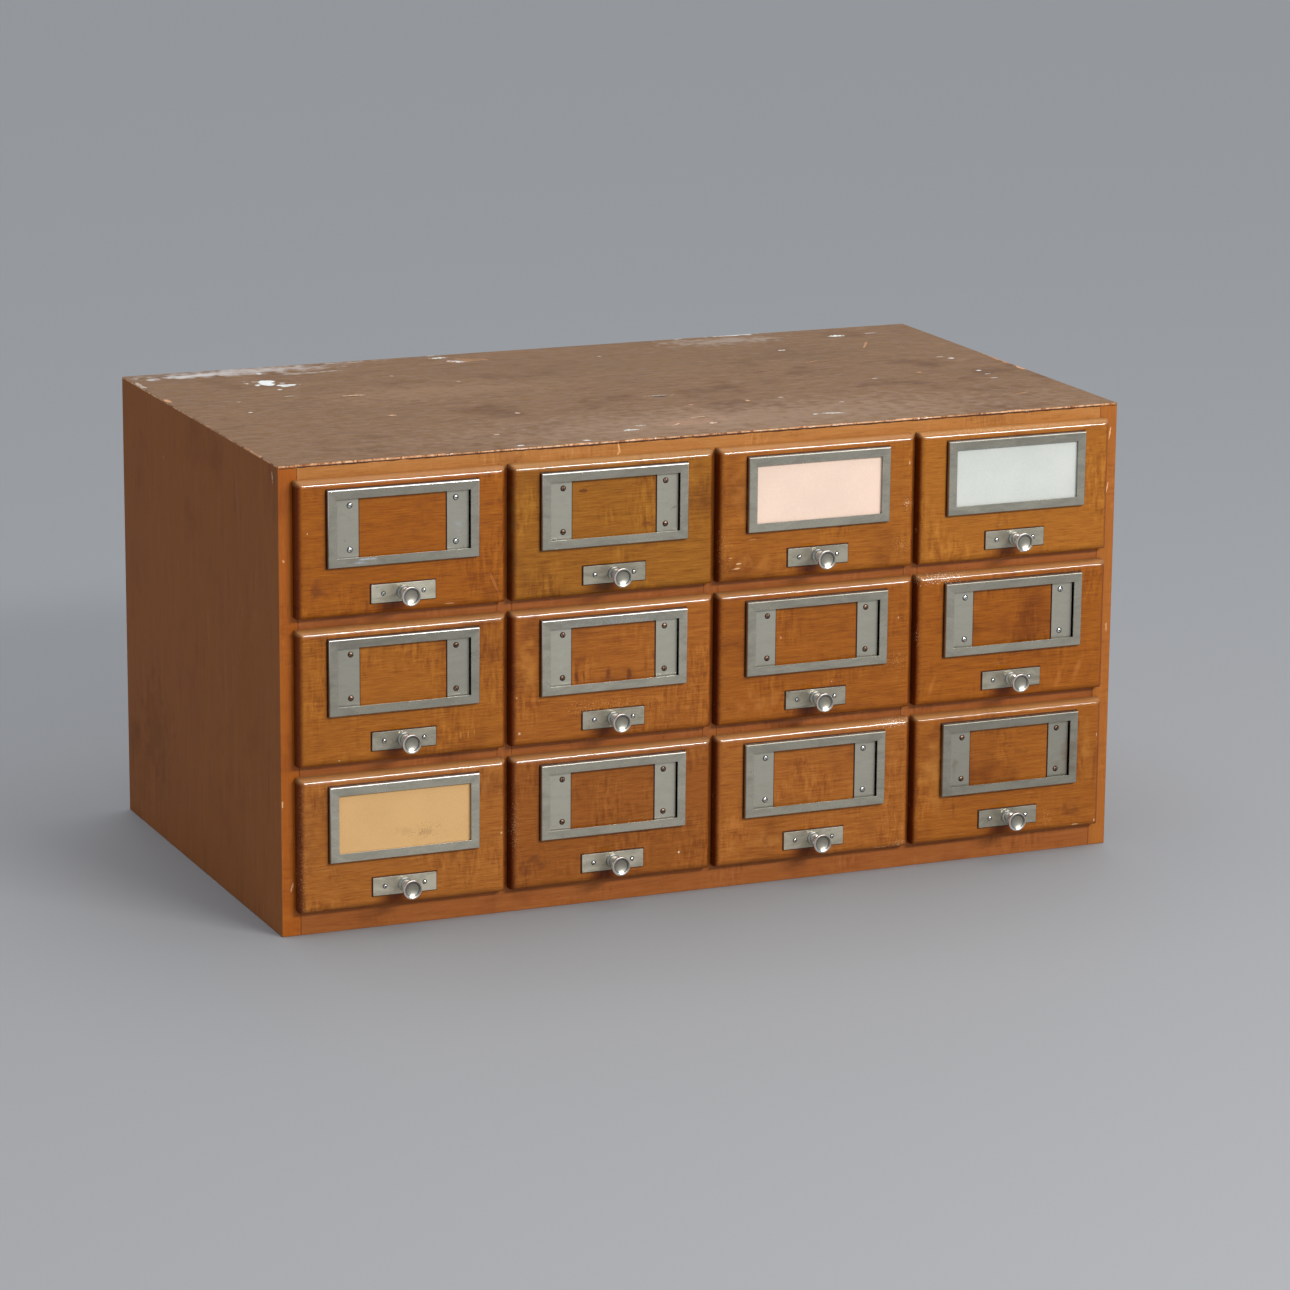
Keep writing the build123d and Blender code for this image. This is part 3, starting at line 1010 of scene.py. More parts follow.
# the stain of each front, by row and column, and its marks from the front's centre
front_finishes = {
    (1, 1): (
        (152, 83, 15),
        [
            (-63, -31, 30, 24, 0, (112, 56, 20), 0.7, 0.8, 0.1),
            (10, 18, 50, 40, 0, (126, 66, 18), 0.45, 0.8, 0.0),
            (74, -38, 2.4, 30, 22, (184, 112, 54), 0.5, 0.6),
            (37, -49, 9, 1.2, 0, (204, 150, 100), 0.6, 0.9),
            (-75, 13, 1.6, 2.4, 0),
        ],
    ),
    (1, 2): (
        (149, 91, 22),
        [
            (-26, 29, 9, 3, 0, (104, 56, 18), 0.85, 0.8),
            (27, 0, 7, 2, 0, (112, 62, 20), 0.7, 0.8),
            (-84, 0, 14, 110, 0, (104, 70, 24), 0.55, 0.6, 0.0),
            (0, -52, 170, 18, 0, (110, 74, 26), 0.5, 0.6, 0.0),
        ],
    ),
    (1, 3): (
        (157, 91, 24),
        [
            (78, 31, 1.6, 5, 0),
            (76, -1, 5, 5, 10, (226, 188, 150), 0.8, 1.2),
            (73, -35, 9, 8, 0, (196, 136, 76), 0.6, 1.4),
            (-79, -26, 7, 20, 0, (196, 136, 76), 0.4, 1.6),
            (-66, 12, 20, 66, 0, (188, 120, 50), 0.5, 0.5, 0.0),
            (72, 12, 16, 60, 0, (142, 80, 22), 0.4, 0.5, 0.0),
            (-55, -20, 7, 1.0, 0, (196, 136, 80), 0.5, 0.9),
            (-50, -38, 60, 22, 0, (184, 116, 46), 0.5, 0.7, 0.0),
            (-72, -33, 8, 1.2, 0, pale_chip, 0.8, 0.9),
            (-67, -38, 5, 1.0, 0, (232, 186, 140), 0.9, 0.9),
            (-71, -42, 8, 1.2, 4, pale_chip, 0.8, 0.9),
        ],
    ),
    (1, 4): (
        (162, 97, 27),
        [
            (-20, 51, 86, 2.4, 0, (222, 170, 116), 0.6, 1.4),
            (-71, -10, 14, 70, 0, (150, 88, 28), 0.3, 0.7, 0.0),
            (72, 6, 18, 90, 0, (142, 82, 24), 0.45, 0.5, 0.0),
        ],
    ),
    (2, 1): (
        (158, 92, 25),
        [
            (52, -38, 1.4, 11, 0, (190, 130, 62), 0.7, 0.4),
            (57, -37, 1.2, 9, 0, (190, 130, 62), 0.7, 0.4),
            (46, -38, 1.2, 8, 0, (190, 130, 62), 0.6, 0.4),
            (-36, -38, 5, 16, 8, (120, 66, 22), 0.5, 0.7, 0.0),
            (-8, -20, 5, 20, 0, (124, 68, 22), 0.5, 0.7, 0.0),
            (-51, -49, 3, 2, 0, (216, 180, 140), 0.9),
        ],
    ),
    (2, 2): (
        (155, 88, 26),
        [
            (0, -7, 84, 22, 0, (124, 66, 22), 0.6, 0.5, 0.0),
            (-30, -3, 5, 22, 6, dark_stain, 0.9, 0.3, 0.4),
            (-24, -4, 3, 18, 4, dark_stain, 0.8, 0.3, 0.4),
            (-4, -1, 6, 20, -5, dark_stain, 0.8, 0.3, 0.2),
            (13, -4, 5, 18, 0, dark_stain, 0.85, 0.5, 0.3),
            (27, 3, 5, 18, 0, dark_stain, 0.8, 0.4, 0.1),
            (-70, 14, 22, 76, 0, (188, 122, 50), 0.7, 0.5, 0.0),
            (-8, -27, 30, 6, 0, (200, 138, 76), 0.7, 2.0),
            (-79, -14, 2, 2, 0, (206, 166, 130), 0.9),
            (-77, -42, 2, 2, 0, (206, 166, 130), 0.9),
            (50, -40, 50, 24, 0, (126, 66, 22), 0.5, 0.6, 0.0),
        ],
    ),
    (2, 3): (
        (150, 83, 19),
        [
            (71, 21, 1.6, 2, 0, raw_wood, 0.7),
            (-30, 14, 2, 2, 0, (206, 130, 90)),
            (68, -12, 16, 8, 0, (190, 130, 70), 0.5, 1.9),
            (14, -25, 1.4, 1.4, 0, raw_wood, 0.7),
            (-46, -36, 60, 24, 0, (180, 112, 48), 0.5, 0.7, 0.0),
        ],
    ),
    (2, 4): (
        (150, 82, 16),
        [
            (-64, 49.5, 30, 4.5, 0, (240, 212, 186), 1.0, 1.2),
            (-76, -34, 6, 28, -18, (118, 64, 20), 0.6, 0.25, 0.0),
            (-60, -38, 7, 28, -18, (120, 64, 20), 0.6, 0.25, 0.0),
            (-69, -36, 6, 28, -18, (184, 114, 48), 0.7, 0.25, 0.0),
            (44, -38, 8, 30, -20, (186, 116, 50), 0.75, 0.25, 0.0),
            (52, -38, 7, 28, -20, (124, 66, 22), 0.5, 0.25, 0.0),
            (60, -34, 8, 32, -20, (188, 118, 52), 0.75, 0.25, 0.0),
            (70, -38, 7, 28, -20, (124, 66, 22), 0.5, 0.25, 0.0),
            (-82, 4, 1.6, 10, 0, (206, 166, 130), 0.5, 1.5),
        ],
    ),
    (3, 1): (
        (160, 95, 34),
        [
            (-81, -13, 4, 74, 0, (196, 140, 96), 0.35, 1.8),
            (-72, -4, 12, 50, 0, (122, 68, 24), 0.4, 0.8, 0.0),
            (79, -5, 2, 2, 0),
        ],
    ),
    (3, 2): (
        (143, 80, 25),
        [
            (-81, -3, 5, 20, 0, (196, 146, 100), 0.5, 1.6),
            (-66, -35, 24, 26, 0, (92, 44, 18), 0.6, 0.8, 0.0),
            (-20, -26, 10, 26, 0, (178, 112, 50), 0.35, 0.8, 0.0),
            (56, -36, 2, 2, 0, (224, 196, 160)),
        ],
    ),
    (3, 3): (
        (157, 91, 31),
        [
            (74, -50, 12, 4, 10, pale_chip, 0.9, 1.1),
            (60, -51, 16, 1.6, 0, pale_chip, 0.9, 1.1),
            (70, 50, 20, 4, 0, (240, 208, 180), 1.0, 1.15),
            (-44, -36, 64, 24, 0, (182, 120, 56), 0.55, 0.7, 0.0),
            (50, -34, 50, 26, 0, (130, 72, 26), 0.4, 0.7, 0.0),
        ],
    ),
    (3, 4): (
        (152, 86, 23),
        [
            (62, -50, 6, 1.2, 0, (220, 176, 132), 0.8),
            (79, 24, 2, 5, 0, (228, 200, 168)),
            (79, -48, 1.4, 4, 0, (220, 176, 132), 0.8),
            (56, -36, 30, 20, 0, (108, 58, 20), 0.5, 0.8, 0.0),
            (10, 16, 24, 14, 0, (122, 68, 22), 0.45, 0.8, 0.0),
            (-66, 8, 32, 96, 0, (196, 130, 58), 0.8, 0.3, 0.0),
            (70, 12, 18, 76, 0, (186, 122, 52), 0.7, 0.3, 0.0),
            (-48, -24, 4, 26, 4, (112, 60, 20), 0.5, 0.7, 0.1),
            (-6, -20, 3, 16, -6, (112, 60, 20), 0.5, 0.7, 0.1),
            (36, -42, 6, 10, 0, (206, 150, 96), 0.4, 1.7),
        ],
    ),
}


def shades(middle):
    """The deep, middle and pale shade of a stain."""
    deep = tuple(c * k for c, k in zip(middle, (0.84, 0.78, 0.7)))
    pale = tuple(c * k for c, k in zip(middle, (1.12, 1.2, 1.5)))
    return deep, middle, pale


case_corners = {"low": (case_left, front_plane, 0), "high": (case_right, rear_plane, case_height)}

# how far the painted shade of a front's left rounding reaches, by column, and the fronts that have lost some
# polish
left_shade_reaches = (0.0046, 0.0046, 0.0036, 0.003)
lustres = {(2, 3): 0.8, (2, 4): 0.65, (3, 4): 0.4}
front_woods = {
    f"r{row}c{column}": wood_material(
        f"stained front r{row}c{column}",
        shades(tone),
        wear=0.35,
        reach=0.003,
        specks=0.2,
        fibres=1.3,
        streaks=0.33,
        figure=1.25,
        clouding=0.55,
        left_shade_reach=left_shade_reaches[column - 1],
        lustre=lustres.get((row, column), 1.0),
        marks=[front_mark(row, column, *numbers) for numbers in marks],
    )
    for (row, column), (tone, marks) in front_finishes.items()
}

reddish = shades((155, 88, 38))
rail_wood = wood_material("reddish rail", reddish, **case_corners, wear=0.3, specks=0.4)
partition_wood = wood_material("reddish partition", reddish, axis=2, **case_corners, wear=0.3, specks=0.35)
left_stile_wood, right_stile_wood = (
    wood_material(
        name, shades(tone), axis=2, **case_corners, wear=0.5, reach=0.0012, streaks=0.2, marks=stile_marks
    )
    for name, tone in (("honey left stile", (167, 89, 23)), ("honey right stile", (166, 97, 36)))
)
top_rail_wood = wood_material(
    "orange top edge", shades((177, 116, 56)), **case_corners, wear=0.2, specks=0.3, marks=rail_marks
)
side_wood = wood_material(
    "shaded stained side",
    shades((155, 94, 49)),
    axis=2,
    **case_corners,
    wear=0.4,
    reach=0.0012,
    specks=0.15,
    fibres=0.35,
    figure=0.1,
    streaks=0.6,
    clouding=0.3,
    gloss=(0.5, 0.6),
    coat=0.0,
    marks=side_marks,
)
top_wood = wood_material(
    "dusty top",
    ((124, 96, 67), (148, 117, 87), (164, 133, 103)),
    low=(case_left, front_plane, case_height - 0.03),
    high=(case_right, rear_plane, case_height),
    wear=0.6,
    reach=0.0018,
    specks=0.5,
    fibres=1.4,
    figure=0.2,
    streaks=0.7,
    clouding=0.5,
    faded=True,
    bare=(222, 174, 134),
    gloss=(0.45, 0.58),
    coat=0.0,
    marks=[mark("top", *numbers) for numbers in top_marks],
)
facing_edge = wood_material(
    "pale facing edge",
    ((134, 78, 44), (200, 146, 102), (226, 184, 146)),
    axis=2,
    **case_corners,
    wear=0.2,
    fibres=1.2,
    streaks=1.8,
    coat=0.1,
)
inner_wood = wood_material(
    "plain inner wood",
    ((150, 112, 70), (182, 146, 100), (200, 168, 124)),
    axis=1,
    **case_corners,
    clouding=0.2,
    wear=0.1,
    specks=0.0,
    gloss=(0.5, 0.65),
    coat=0.0,
)
back_ply = wood_material(
    "plywood back",
    ((128, 92, 56), (160, 122, 80), (180, 144, 100)),
    **case_corners,
    clouding=0.15,
    wear=0.2,
    specks=0.2,
    gloss=(0.5, 0.65),
    coat=0.0,
)


def metal_material(
    name, bright, dark, tarnish, smears, spots, gloss, lines, rim, matt=0.0, dull=None, marks=()
):
    """Plating that a piece's numbers vary.

    "Tone" makes it brighter, as painted light for what it reflects. Its number for grime, shade and shine
    gives it the colour rim near 1, as grime and painted shade, and near -1 a bare bright colour that is a
    painted highlight. "Matt" gives it the colour dull and adds to its roughness. Gloss is the least and
    greatest roughness, and lines the depth of the brushing.
    """
    material, tree, shader = start_material(name)
    place = object_place(tree)
    plating = add_group(
        tree,
        worn_plating,
        Vector=place,
        Bright=stain(*bright),
        Dark=stain(*dark),
        Tarnish=stain(*tarnish),
        Smears=smears,
        Spots=spots,
    ).outputs
    colour = plating["Colour"]
    matt_area = own_number(tree, "matt")
    if dull:
        colour = blend(tree, calculate(tree, "MULTIPLY", matt_area, 0.6), colour, stain(*dull))
    colour = add_marks(tree, place, colour, marks)
    # painted light with some tarnish: tone makes the whole piece brighter or darker for what it reflects
    colour = scaled(tree, colour, calculate(tree, "ADD", own_number(tree, "tone"), 1.0))
    dirt_shade_and_shine = own_number(tree, "dirt_shade_and_shine")
    # painted highlight: near -1 the colour turns a bare bright
    colour = blend(tree, spread(tree, dirt_shade_and_shine, -0.2, -0.8), colour, stain(246, 245, 240))
    # grime and painted shade: near 1 the colour turns to rim
    colour = blend(tree, spread(tree, dirt_shade_and_shine, 0.7, 0.98), colour, stain(*rim))
    rough = spread(tree, plating["Dullness"], 0.3, 0.8, *gloss)
    rough = plus(tree, rough, matt_area, matt)
    feed_all(tree, shader, Base_Color=colour, Metallic=1.0, Roughness=rough)
    bump(tree, shader, plating["Height"], lines)
    return material


# marks on the holders and plates: real smears, tarnish and rust, and painted highlights and reflections on
# some borders
holder_marks_and_glints = [
    front_mark(*numbers)
    for numbers in (
        (1, 1, -47, 8, 5, 12, 20, (140, 104, 84), 0.6, 0.8, 0.2),
        (1, 1, 46, 12, 10, 24, 0, (186, 196, 200), 0.5, 0.8, 0.0),
        # painted highlight and reflection on the lower border of row 1 column 1, in the next two
        (1, 1, -30, -8.5, 34, 1.6, 0, (232, 236, 240), 0.9, 1.0, 0.2),
        (1, 1, -38, -11, 12, 2, 0, (214, 220, 228), 0.8, 1.0, 0.2),
        (1, 2, 47, 10, 12, 3, 30, (120, 122, 116), 0.7, 0.8),
        (1, 2, -20, -37, 10, 6, 0, (176, 164, 120), 0.6, 0.8, 0.1),
        # painted bluish reflections on the upper border of row 2 column 2
        (2, 2, -2, 40, 78, 6, 0, (200, 212, 226), 0.7, 1.1, 0.1),
        (2, 2, -43, 4, 8, 34, 0, (196, 200, 194), 0.4, 0.6, 0.0),
        (3, 4, -48, 6, 10, 30, 0, (146, 126, 112), 0.6, 0.8, 0.0),
        (3, 4, 52, 10, 26, 70, 0, (150, 126, 100), 0.75, 0.5, 0.0),
    )
]
holder_steel = metal_material(
    "brushed plated steel",
    bright=(180, 175, 160),
    dark=(132, 129, 117),
    tarnish=(116, 100, 78),
    smears=0.5,
    spots=0.6,
    gloss=(0.25, 0.34),
    lines=0.000012,
    rim=(16, 14, 12),
    matt=0.2,
    dull=(168, 165, 152),
    marks=holder_marks_and_glints,
)
plate_steel = metal_material(
    "knob plate steel",
    bright=(196, 189, 170),
    dark=(150, 144, 126),
    tarnish=(120, 104, 80),
    smears=0.9,
    spots=1.6,
    gloss=(0.4, 0.52),
    lines=0.00004,
    rim=(16, 14, 12),
)
ferrule_nickel = metal_material(
    "ferrule nickel",
    bright=(206, 203, 195),
    dark=(138, 134, 124),
    tarnish=(84, 70, 54),
    smears=0.5,
    spots=0.6,
    gloss=(0.08, 0.15),
    lines=0.000005,
    rim=(22, 18, 14),
)
knob_nickel = metal_material(
    "turned nickel",
    bright=(210, 208, 201),
    dark=(160, 156, 146),
    tarnish=(110, 98, 80),
    smears=0.4,
    spots=0.5,
    gloss=(0.13, 0.22),
    lines=0.000005,
    rim=(24, 20, 16),
    matt=0.14,
    dull=(154, 146, 122),
)
# its bright colour is partly painted highlight, so that heads in the knob's shade still look lit
screw_steel = metal_material(
    "screw steel",
    bright=(232, 231, 226),
    dark=(172, 168, 160),
    tarnish=(90, 70, 52),
    smears=0.4,
    spots=0.6,
    gloss=(0.14, 0.24),
    lines=0.000006,
    rim=(22, 17, 13),
)
rusty_screw = metal_material(
    "darkened screw",
    bright=(150, 120, 100),
    dark=(104, 78, 62),
    tarnish=(84, 52, 36),
    smears=0.8,
    spots=1.0,
    gloss=(0.4, 0.55),
    lines=0.00003,
    rim=(30, 20, 15),
)


# the drawers whose holders have bright screws
bright_screws = {"r1c1", "r2c4", "r3c3"}
# by drawer: how much brighter a holder or plate is than its kind, as painted light for what it reflects along
# with its own tarnish, and how strong the painted highlight on a holder's folds is
holder_tones = (-0.12, -0.06, 0, 0, -0.12, 0.07, 0, 0, 0.26, 0.15, 0.06, -0.12)
plate_tones = (0.14, -0.15, -0.14, -0.14, -0.14, -0.1, -0.18, -0.12, 0.26, 0.2, 0.12, -0.16)
fold_shines = (1, 0.7, 0.35, 0.3, 0.8, 0.8, 0.2, 0.2, 0.7, 0.4, 0.1, 0.1)


def card_material(name, tint, marks=()):
    """Stiff card with a little tooth."""
    material, tree, shader = start_material(name)
    place = object_place(tree)
    fibre = clouds(tree, place, 900, detail=3, roughness=0.7)
    tone = clouds(tree, place, 25, detail=3)
    light = stain(*tint)
    shaded = tuple(c * 0.9 for c in light[:3]) + (1,)
    amount = plus(tree, calculate(tree, "MULTIPLY", fibre, 0.5), tone, 0.5)
    colour = blend(tree, spread(tree, amount, 0.35, 0.65), light, shaded)
    feed_all(tree, shader, Base_Color=add_marks(tree, place, colour, marks), Roughness=0.7)
    bump(tree, shader, fibre, 0.00003)
    return material


peach_card = card_material("peach card", (241, 211, 190))
white_card = card_material("white card", (206, 208, 199))
manila_card = card_material(
    "manila card",
    (216, 170, 110),
    [
        front_mark(3, 1, 14, 4, 24, 12, 0, (150, 114, 72), 0.6, 0.5, 0.0),
        front_mark(3, 1, -1, 6, 20, 9, 0, (172, 134, 84), 0.4, 0.5, 0.0),
        front_mark(3, 1, 13, 4, 18, 8, 0, (124, 92, 56), 0.5, 1.3),
    ],
)


# Case


def rail_number(p):
    """A number for each rail: one for the lowest, and others by row and column."""
    if p.z < 2 * bottom_rail_height:
        return 0.0
    return 7.0 + round(p.z / 0.1) + 3.1 * round(p.x / column_pitch + 0.5)


def dress_sides():
    """The two sides, dark outside, with honey-coloured front edges."""
    for place, node, number, stile_wood in (
        ("left", "left_side_panel", 1.0, left_stile_wood),
        ("right", "right_side_panel", 2.0, right_stile_wood),
    ):
        side = ease_edges(copy_of_node(node, f"case_{place}_side"), 0.0007)
        mark_board(side, lambda p: number)
        dress(smooth(side), side_wood, "case", "dark_wood", node)
        side.data.materials.append(stile_wood)
        for face in side.data.polygons:
            face.material_index = 1 if face.normal.y < -0.9 and at(face.center.y, front_plane) else 0


def dress_boards():
    """The other boards of the case, which keep the solids' shapes with eased edges."""
    for node, name, ease, material, slot, number_at in (
        ("top_panel", "case_top_board", 0.0003, top_rail_wood, "honey_wood", None),
        (
            "column_partitions",
            "drawer_partitions",
            0.0005,
            partition_wood,
            "honey_wood",
            lambda p: 3.0 + round(p.x / column_pitch),
        ),
        ("front_rails", "drawer_rails", 0.0005, rail_wood, "honey_wood", rail_number),
        ("bottom_panel", "case_bottom_board", 0.0004, inner_wood, "plain_wood", None),
        ("drawer_runners", "drawer_slide_strips", 0.0004, inner_wood, "plain_wood", None),
        ("back_panel", "case_back_board", 0.0003, back_ply, "plywood", None),
    ):
        board = ease_edges(copy_of_node(node, name), ease)
        if number_at:
            mark_board(board, number_at)
        dress(smooth(board), material, "case", slot, node)


def model_top_facing():
    """The thin facing, its rim rubbed down and chipped unevenly."""
    clear_selection()
    bpy.ops.mesh.primitive_plane_add(size=1, location=(0, 0, case_height))
    facing = bpy.context.object
    facing.scale = (case_width, case_depth, 1)
    place_in_mesh(facing, "case_top_facing")
    edit(facing)
    bpy.ops.mesh.delete(type="ONLY_FACE")
    pick("EDGE", lambda e: along(e, 0))
    bpy.ops.mesh.subdivide(number_cuts=260)
    pick("EDGE", lambda e: along(e, 1))
    bpy.ops.mesh.subdivide(number_cuts=140)
    pick_all()
    bpy.ops.mesh.edge_face_add()
    face_outward()
    bpy.ops.mesh.inset(thickness=0.0012)
    pick_all()
    extrude(z=-veneer_thickness)
    face_outward()
    end_edit()
    for vertex in facing.data.vertices:
        p = vertex.co
        inward = Vector((0, 0, 0))
        if at(abs(p.x), case_right):
            inward.x = -math.copysign(1, p.x)
        if at(abs(p.y), rear_plane):
            inward.y = -math.copysign(1, p.y)
        if not inward.length:
            continue
        small = noise.noise(p * 160) * 0.5 + 0.5
        patch = max(0, noise.noise(p * 21 + Vector((3, 1, 7))) - 0.12)
        chip = max(0, noise.noise(p * 90 + Vector((9, 4, 2))) - 0.45)
        depth = 0.00025 + 0.00035 * small + 0.0007 * patch + 0.0016 * chip
        if p.z > case_height - veneer_thickness / 2:
            vertex.co = p + inward * depth - Vector((0, 0, depth * 0.55))
        else:
            vertex.co = p + inward * depth * 0.35
    return facing


def dress_top():
    facing = model_top_facing()
    dress(smooth(facing, 40), top_wood, "case", "top_veneer", "top_veneer")
    facing.data.materials.append(facing_edge)
    for face in facing.data.polygons:
        face.material_index = 1 if abs(face.normal.z) < 0.9 else 0


# Drawer fronts


def bore(piece, x, z):
    """Drills the rod's hole right through a front or a plate."""
    clear_selection()
    bpy.ops.mesh.primitive_cylinder_add(
        vertices=32, radius=bore_radius, depth=0.06, location=(x, wood_face, z), rotation=(math.pi / 2, 0, 0)
    )
    cut_away(piece, bpy.context.object)


def model_front():
    """The drawer front of row 1 column 1: a lip with a rounded face and a step behind it."""
    x, floor = home_x, home_floor
    front = add_block(
        "front_board",
        (x - front_width / 2, wood_face, floor - front_overlap),
        (x + front_width / 2, lip_back, floor + cell_height + front_overlap),
    )
    edit(front)
    pick("FACE", lambda f: f.normal.y > 0.9)
    bpy.ops.mesh.inset(thickness=0.005)
    mesh = bmesh.from_edit_mesh(front.data)
    middle = Vector((x, 0, floor + cell_height / 2))
    for vertex in [v for v in mesh.verts if v.select]:
        vertex.co.x = x + math.copysign(step_width / 2, vertex.co.x - middle.x)
        above = vertex.co.z > middle.z
        vertex.co.z = floor + (cell_height - step_clearance if above else step_above_floor)
    bmesh.update_edit_mesh(front.data)
    extrude(y=front_plane + front_step - lip_back)
    round_off(lambda e: at(edge_middle(e).y, wood_face), front_rounding, 9)

    def mitre(edge):
        """Whether an edge is a sharp one where two roundings meet at a corner."""
        p = edge_middle(edge) - middle
        if edge_middle(edge).y > lip_back - 0.0001 or len(edge.link_faces) != 2:
            return False
        if abs(p.x) < front_width / 2 - 0.007 or abs(p.z) < front_height / 2 - 0.007:
            return False
        return edge.calc_face_angle() > math.radians(9) and not along(edge, 0) and not along(edge, 2)

    round_off(mitre, 0.0013, 3)
    pick_all()
    bpy.ops.mesh.remove_doubles(threshold=0.00001)
    end_edit()
    bore(front, x, floor + rod_height)
    return smooth(front)


def map_face(piece, x, z):
    """Gives a front its own map in metres, from its centre."""
    layer = piece.data.uv_layers.new(name="face")
    for loop in piece.data.loops:
        p = piece.data.vertices[loop.vertex_index].co
        layer.data[loop.index].uv = (p.x - x, p.z - z)


def dress_fronts():
    pattern = model_front()
    for row, column in places:
        name = place_name(row, column)
        front = copy_piece(pattern, f"front_board_{name}", cell_shift(row, column))
        map_face(front, cell_x(column), cell_floor(row) + cell_height / 2)
        mark_board(front, lambda p: 1.0 + row * columns + column)
        dress(front, front_woods[name], f"drawer_{name}", "front_wood", f"drawer_front_{name}")
    bpy.data.objects.remove(pattern, do_unlink=True)


# Drawer boxes


def dress_boxes():
    for row, column in places:
        name = place_name(row, column)
        box = ease_edges(copy_of_node(f"drawer_box_{name}", f"box_boards_{name}"), 0.0004)
        mark_board(box, lambda p: 20.0 + row * columns + column)
        dress(smooth(box), inner_wood, f"drawer_{name}", "plain_wood", f"drawer_box_{name}")


# Label holders


def model_holder():
    """A frame folded from sheet: face, four walls and two screw flanges against the wood."""
    x, z = home_x, holder_centre(home_floor)
    face, slit = wood_face - holder_depth, 0.0005
    clear_selection()
    bpy.ops.mesh.primitive_plane_add(size=1, location=(x, face, z), rotation=(math.pi / 2, 0, 0))
    holder = bpy.context.object
    holder.scale = (holder_width, holder_height, 1)
    place_in_mesh(holder, "label_holder")
    edit(holder)
    pick_all()
    bpy.ops.mesh.inset(thickness=holder_border)
    bpy.ops.mesh.delete(type="FACE")

    def outer(edge):
        p = edge_middle(edge) - Vector((x, 0, z))
        return at(abs(p.x), holder_width / 2) or at(abs(p.z), holder_height / 2)

    def on_wood(edge):
        return at(edge_middle(edge).y, wood_face)

    pick("EDGE", outer)
    extrude(y=holder_depth)
    for side in (-1, 1):
        pick("EDGE", lambda e: on_wood(e) and at(edge_middle(e).x, x + side * holder_width / 2))
        extrude(x=-side * 0.001)
        bpy.ops.transform.resize(value=(1, 1, 1 - 0.004 / holder_height), center_override=(x, wood_face, z))
        # the flange has its own loops where it comes out from under the border
        extrude(x=-side * (holder_border - 0.001 + slit))
        extrude(x=-side * 0.0003)
        extrude(x=-side * (holder_width / 2 - flange_gap / 2 - holder_border - slit - 0.0003))
    round_off(lambda e: at(edge_middle(e).y, face) and outer(e), fold_radius * 0.85, 4)
    round_off(lambda e: on_wood(e) and at(abs(edge_middle(e).x - x), holder_width / 2), 0.0006, 2)
    end_edit()
    finish_with(holder, "SOLIDIFY", thickness=holder_sheet, offset=-1, use_even_offset=True)
    ease_edges(holder, 0.00028, 2, 45)
    # the flanges are matt; painted shade fills the slits beside them and lies a little on the upper border;
    # the upper fold and the sill carry a painted highlight, a bare bright colour
    half_window = holder_width / 2 - holder_border
    fold_reach = fold_radius * 0.75
    for vertex, matt, dirt_shade_and_shine in zip(holder.data.vertices, *add_numbers(holder, "matt", "dirt_shade_and_shine")):
        y, up, out = vertex.co.y, vertex.co.z - z, abs(vertex.co.x - x)
        matt.value = 1.0 if y > wood_face - holder_depth / 2 else 0.0
        under_border = half_window - slit - 0.00001 < out < holder_width / 2 - 0.001
        on_fold = up > holder_height / 2 - fold_reach and y < face + fold_reach
        on_sill = at(up, holder_border - holder_height / 2, 0.0004) and y < face + holder_sheet + 0.0001
        if under_border and y > wood_face - 0.0012:
            dirt_shade_and_shine.value = 1.0
        elif on_fold or (on_sill and out < half_window):
            dirt_shade_and_shine.value = -1.0
        elif y < face + 0.0005 and up > holder_height / 2 - holder_border - 0.001:
            dirt_shade_and_shine.value = 0.765
    return smooth(holder, 35)


def model_screw():
    """A domed head with a slot, at row 1 column 1's knob plate axis; it sits on the wood's face."""
    x, z = home_x, home_rod
    radius, rise, slot_width, slot_depth = 0.0023, 0.0009, 0.0006, 0.0006
    curve = (radius**2 + rise**2) / (2 * rise)
    half = math.degrees(math.asin(radius / curve))
    stations = arc(wood_face - rise + curve, 0, curve, 176.5, 180 - half, 6)
    stations += [(wood_face + 0.0004, radius)]
    screw = turned("screw_head", x, z, stations, sides=24)
    floor = wood_face - rise + slot_depth
    low = (x - 0.003, wood_face - 0.002, z - slot_width / 2)
    slot = add_block("screw_slot", low, (x + 0.003, floor, z + slot_width / 2))
    smooth(cut_away(screw, slot), 35, lathed=True)
    # grime and painted shade lie round the head and in the slot
    for vertex, dirt_shade_and_shine in zip(screw.data.vertices, *add_numbers(screw, "dirt_shade_and_shine")):
        p = vertex.co
        in_slot = at(p.y, floor) and at(abs(p.z - z), slot_width / 2)
        dirt_shade_and_shine.value = 1.0 if in_slot else min(1.0, 1.12 * math.hypot(p.x - x, p.z - z) / radius)
    return screw


def set_screws(pattern, name, spots, size=1.0):
    """Copies of the screw at (x, y, z, turn), as one piece."""
    home = Vector((home_x, wood_face, home_rod))
    screws = []
    for x, y, z, turn in spots:
        turned_to = Matrix.Rotation(turn, 4, "Y") @ Matrix.Diagonal((size, 1, size, 1))
        matrix = Matrix.Translation((x, y, z)) @ turned_to @ Matrix.Translation(-home)
        screws.append(copy_piece(pattern, "screw", matrix))
    return join(screws, name)


def model_plate():
    x, z = home_x, home_rod
    plate = add_block(
        "knob_plate",
        (x - plate_width / 2, plate_face, z - plate_height / 2),
        (x + plate_width / 2, wood_face, z + plate_height / 2),
    )
    edit(plate)
    round_off(lambda e: along(e, 1), 0.0005, 2)
    round_off(lambda e: at(edge_middle(e).y, plate_face), 0.0002, 2)
    end_edit()
    bore(plate, x, z)
    return smooth(plate, 35)


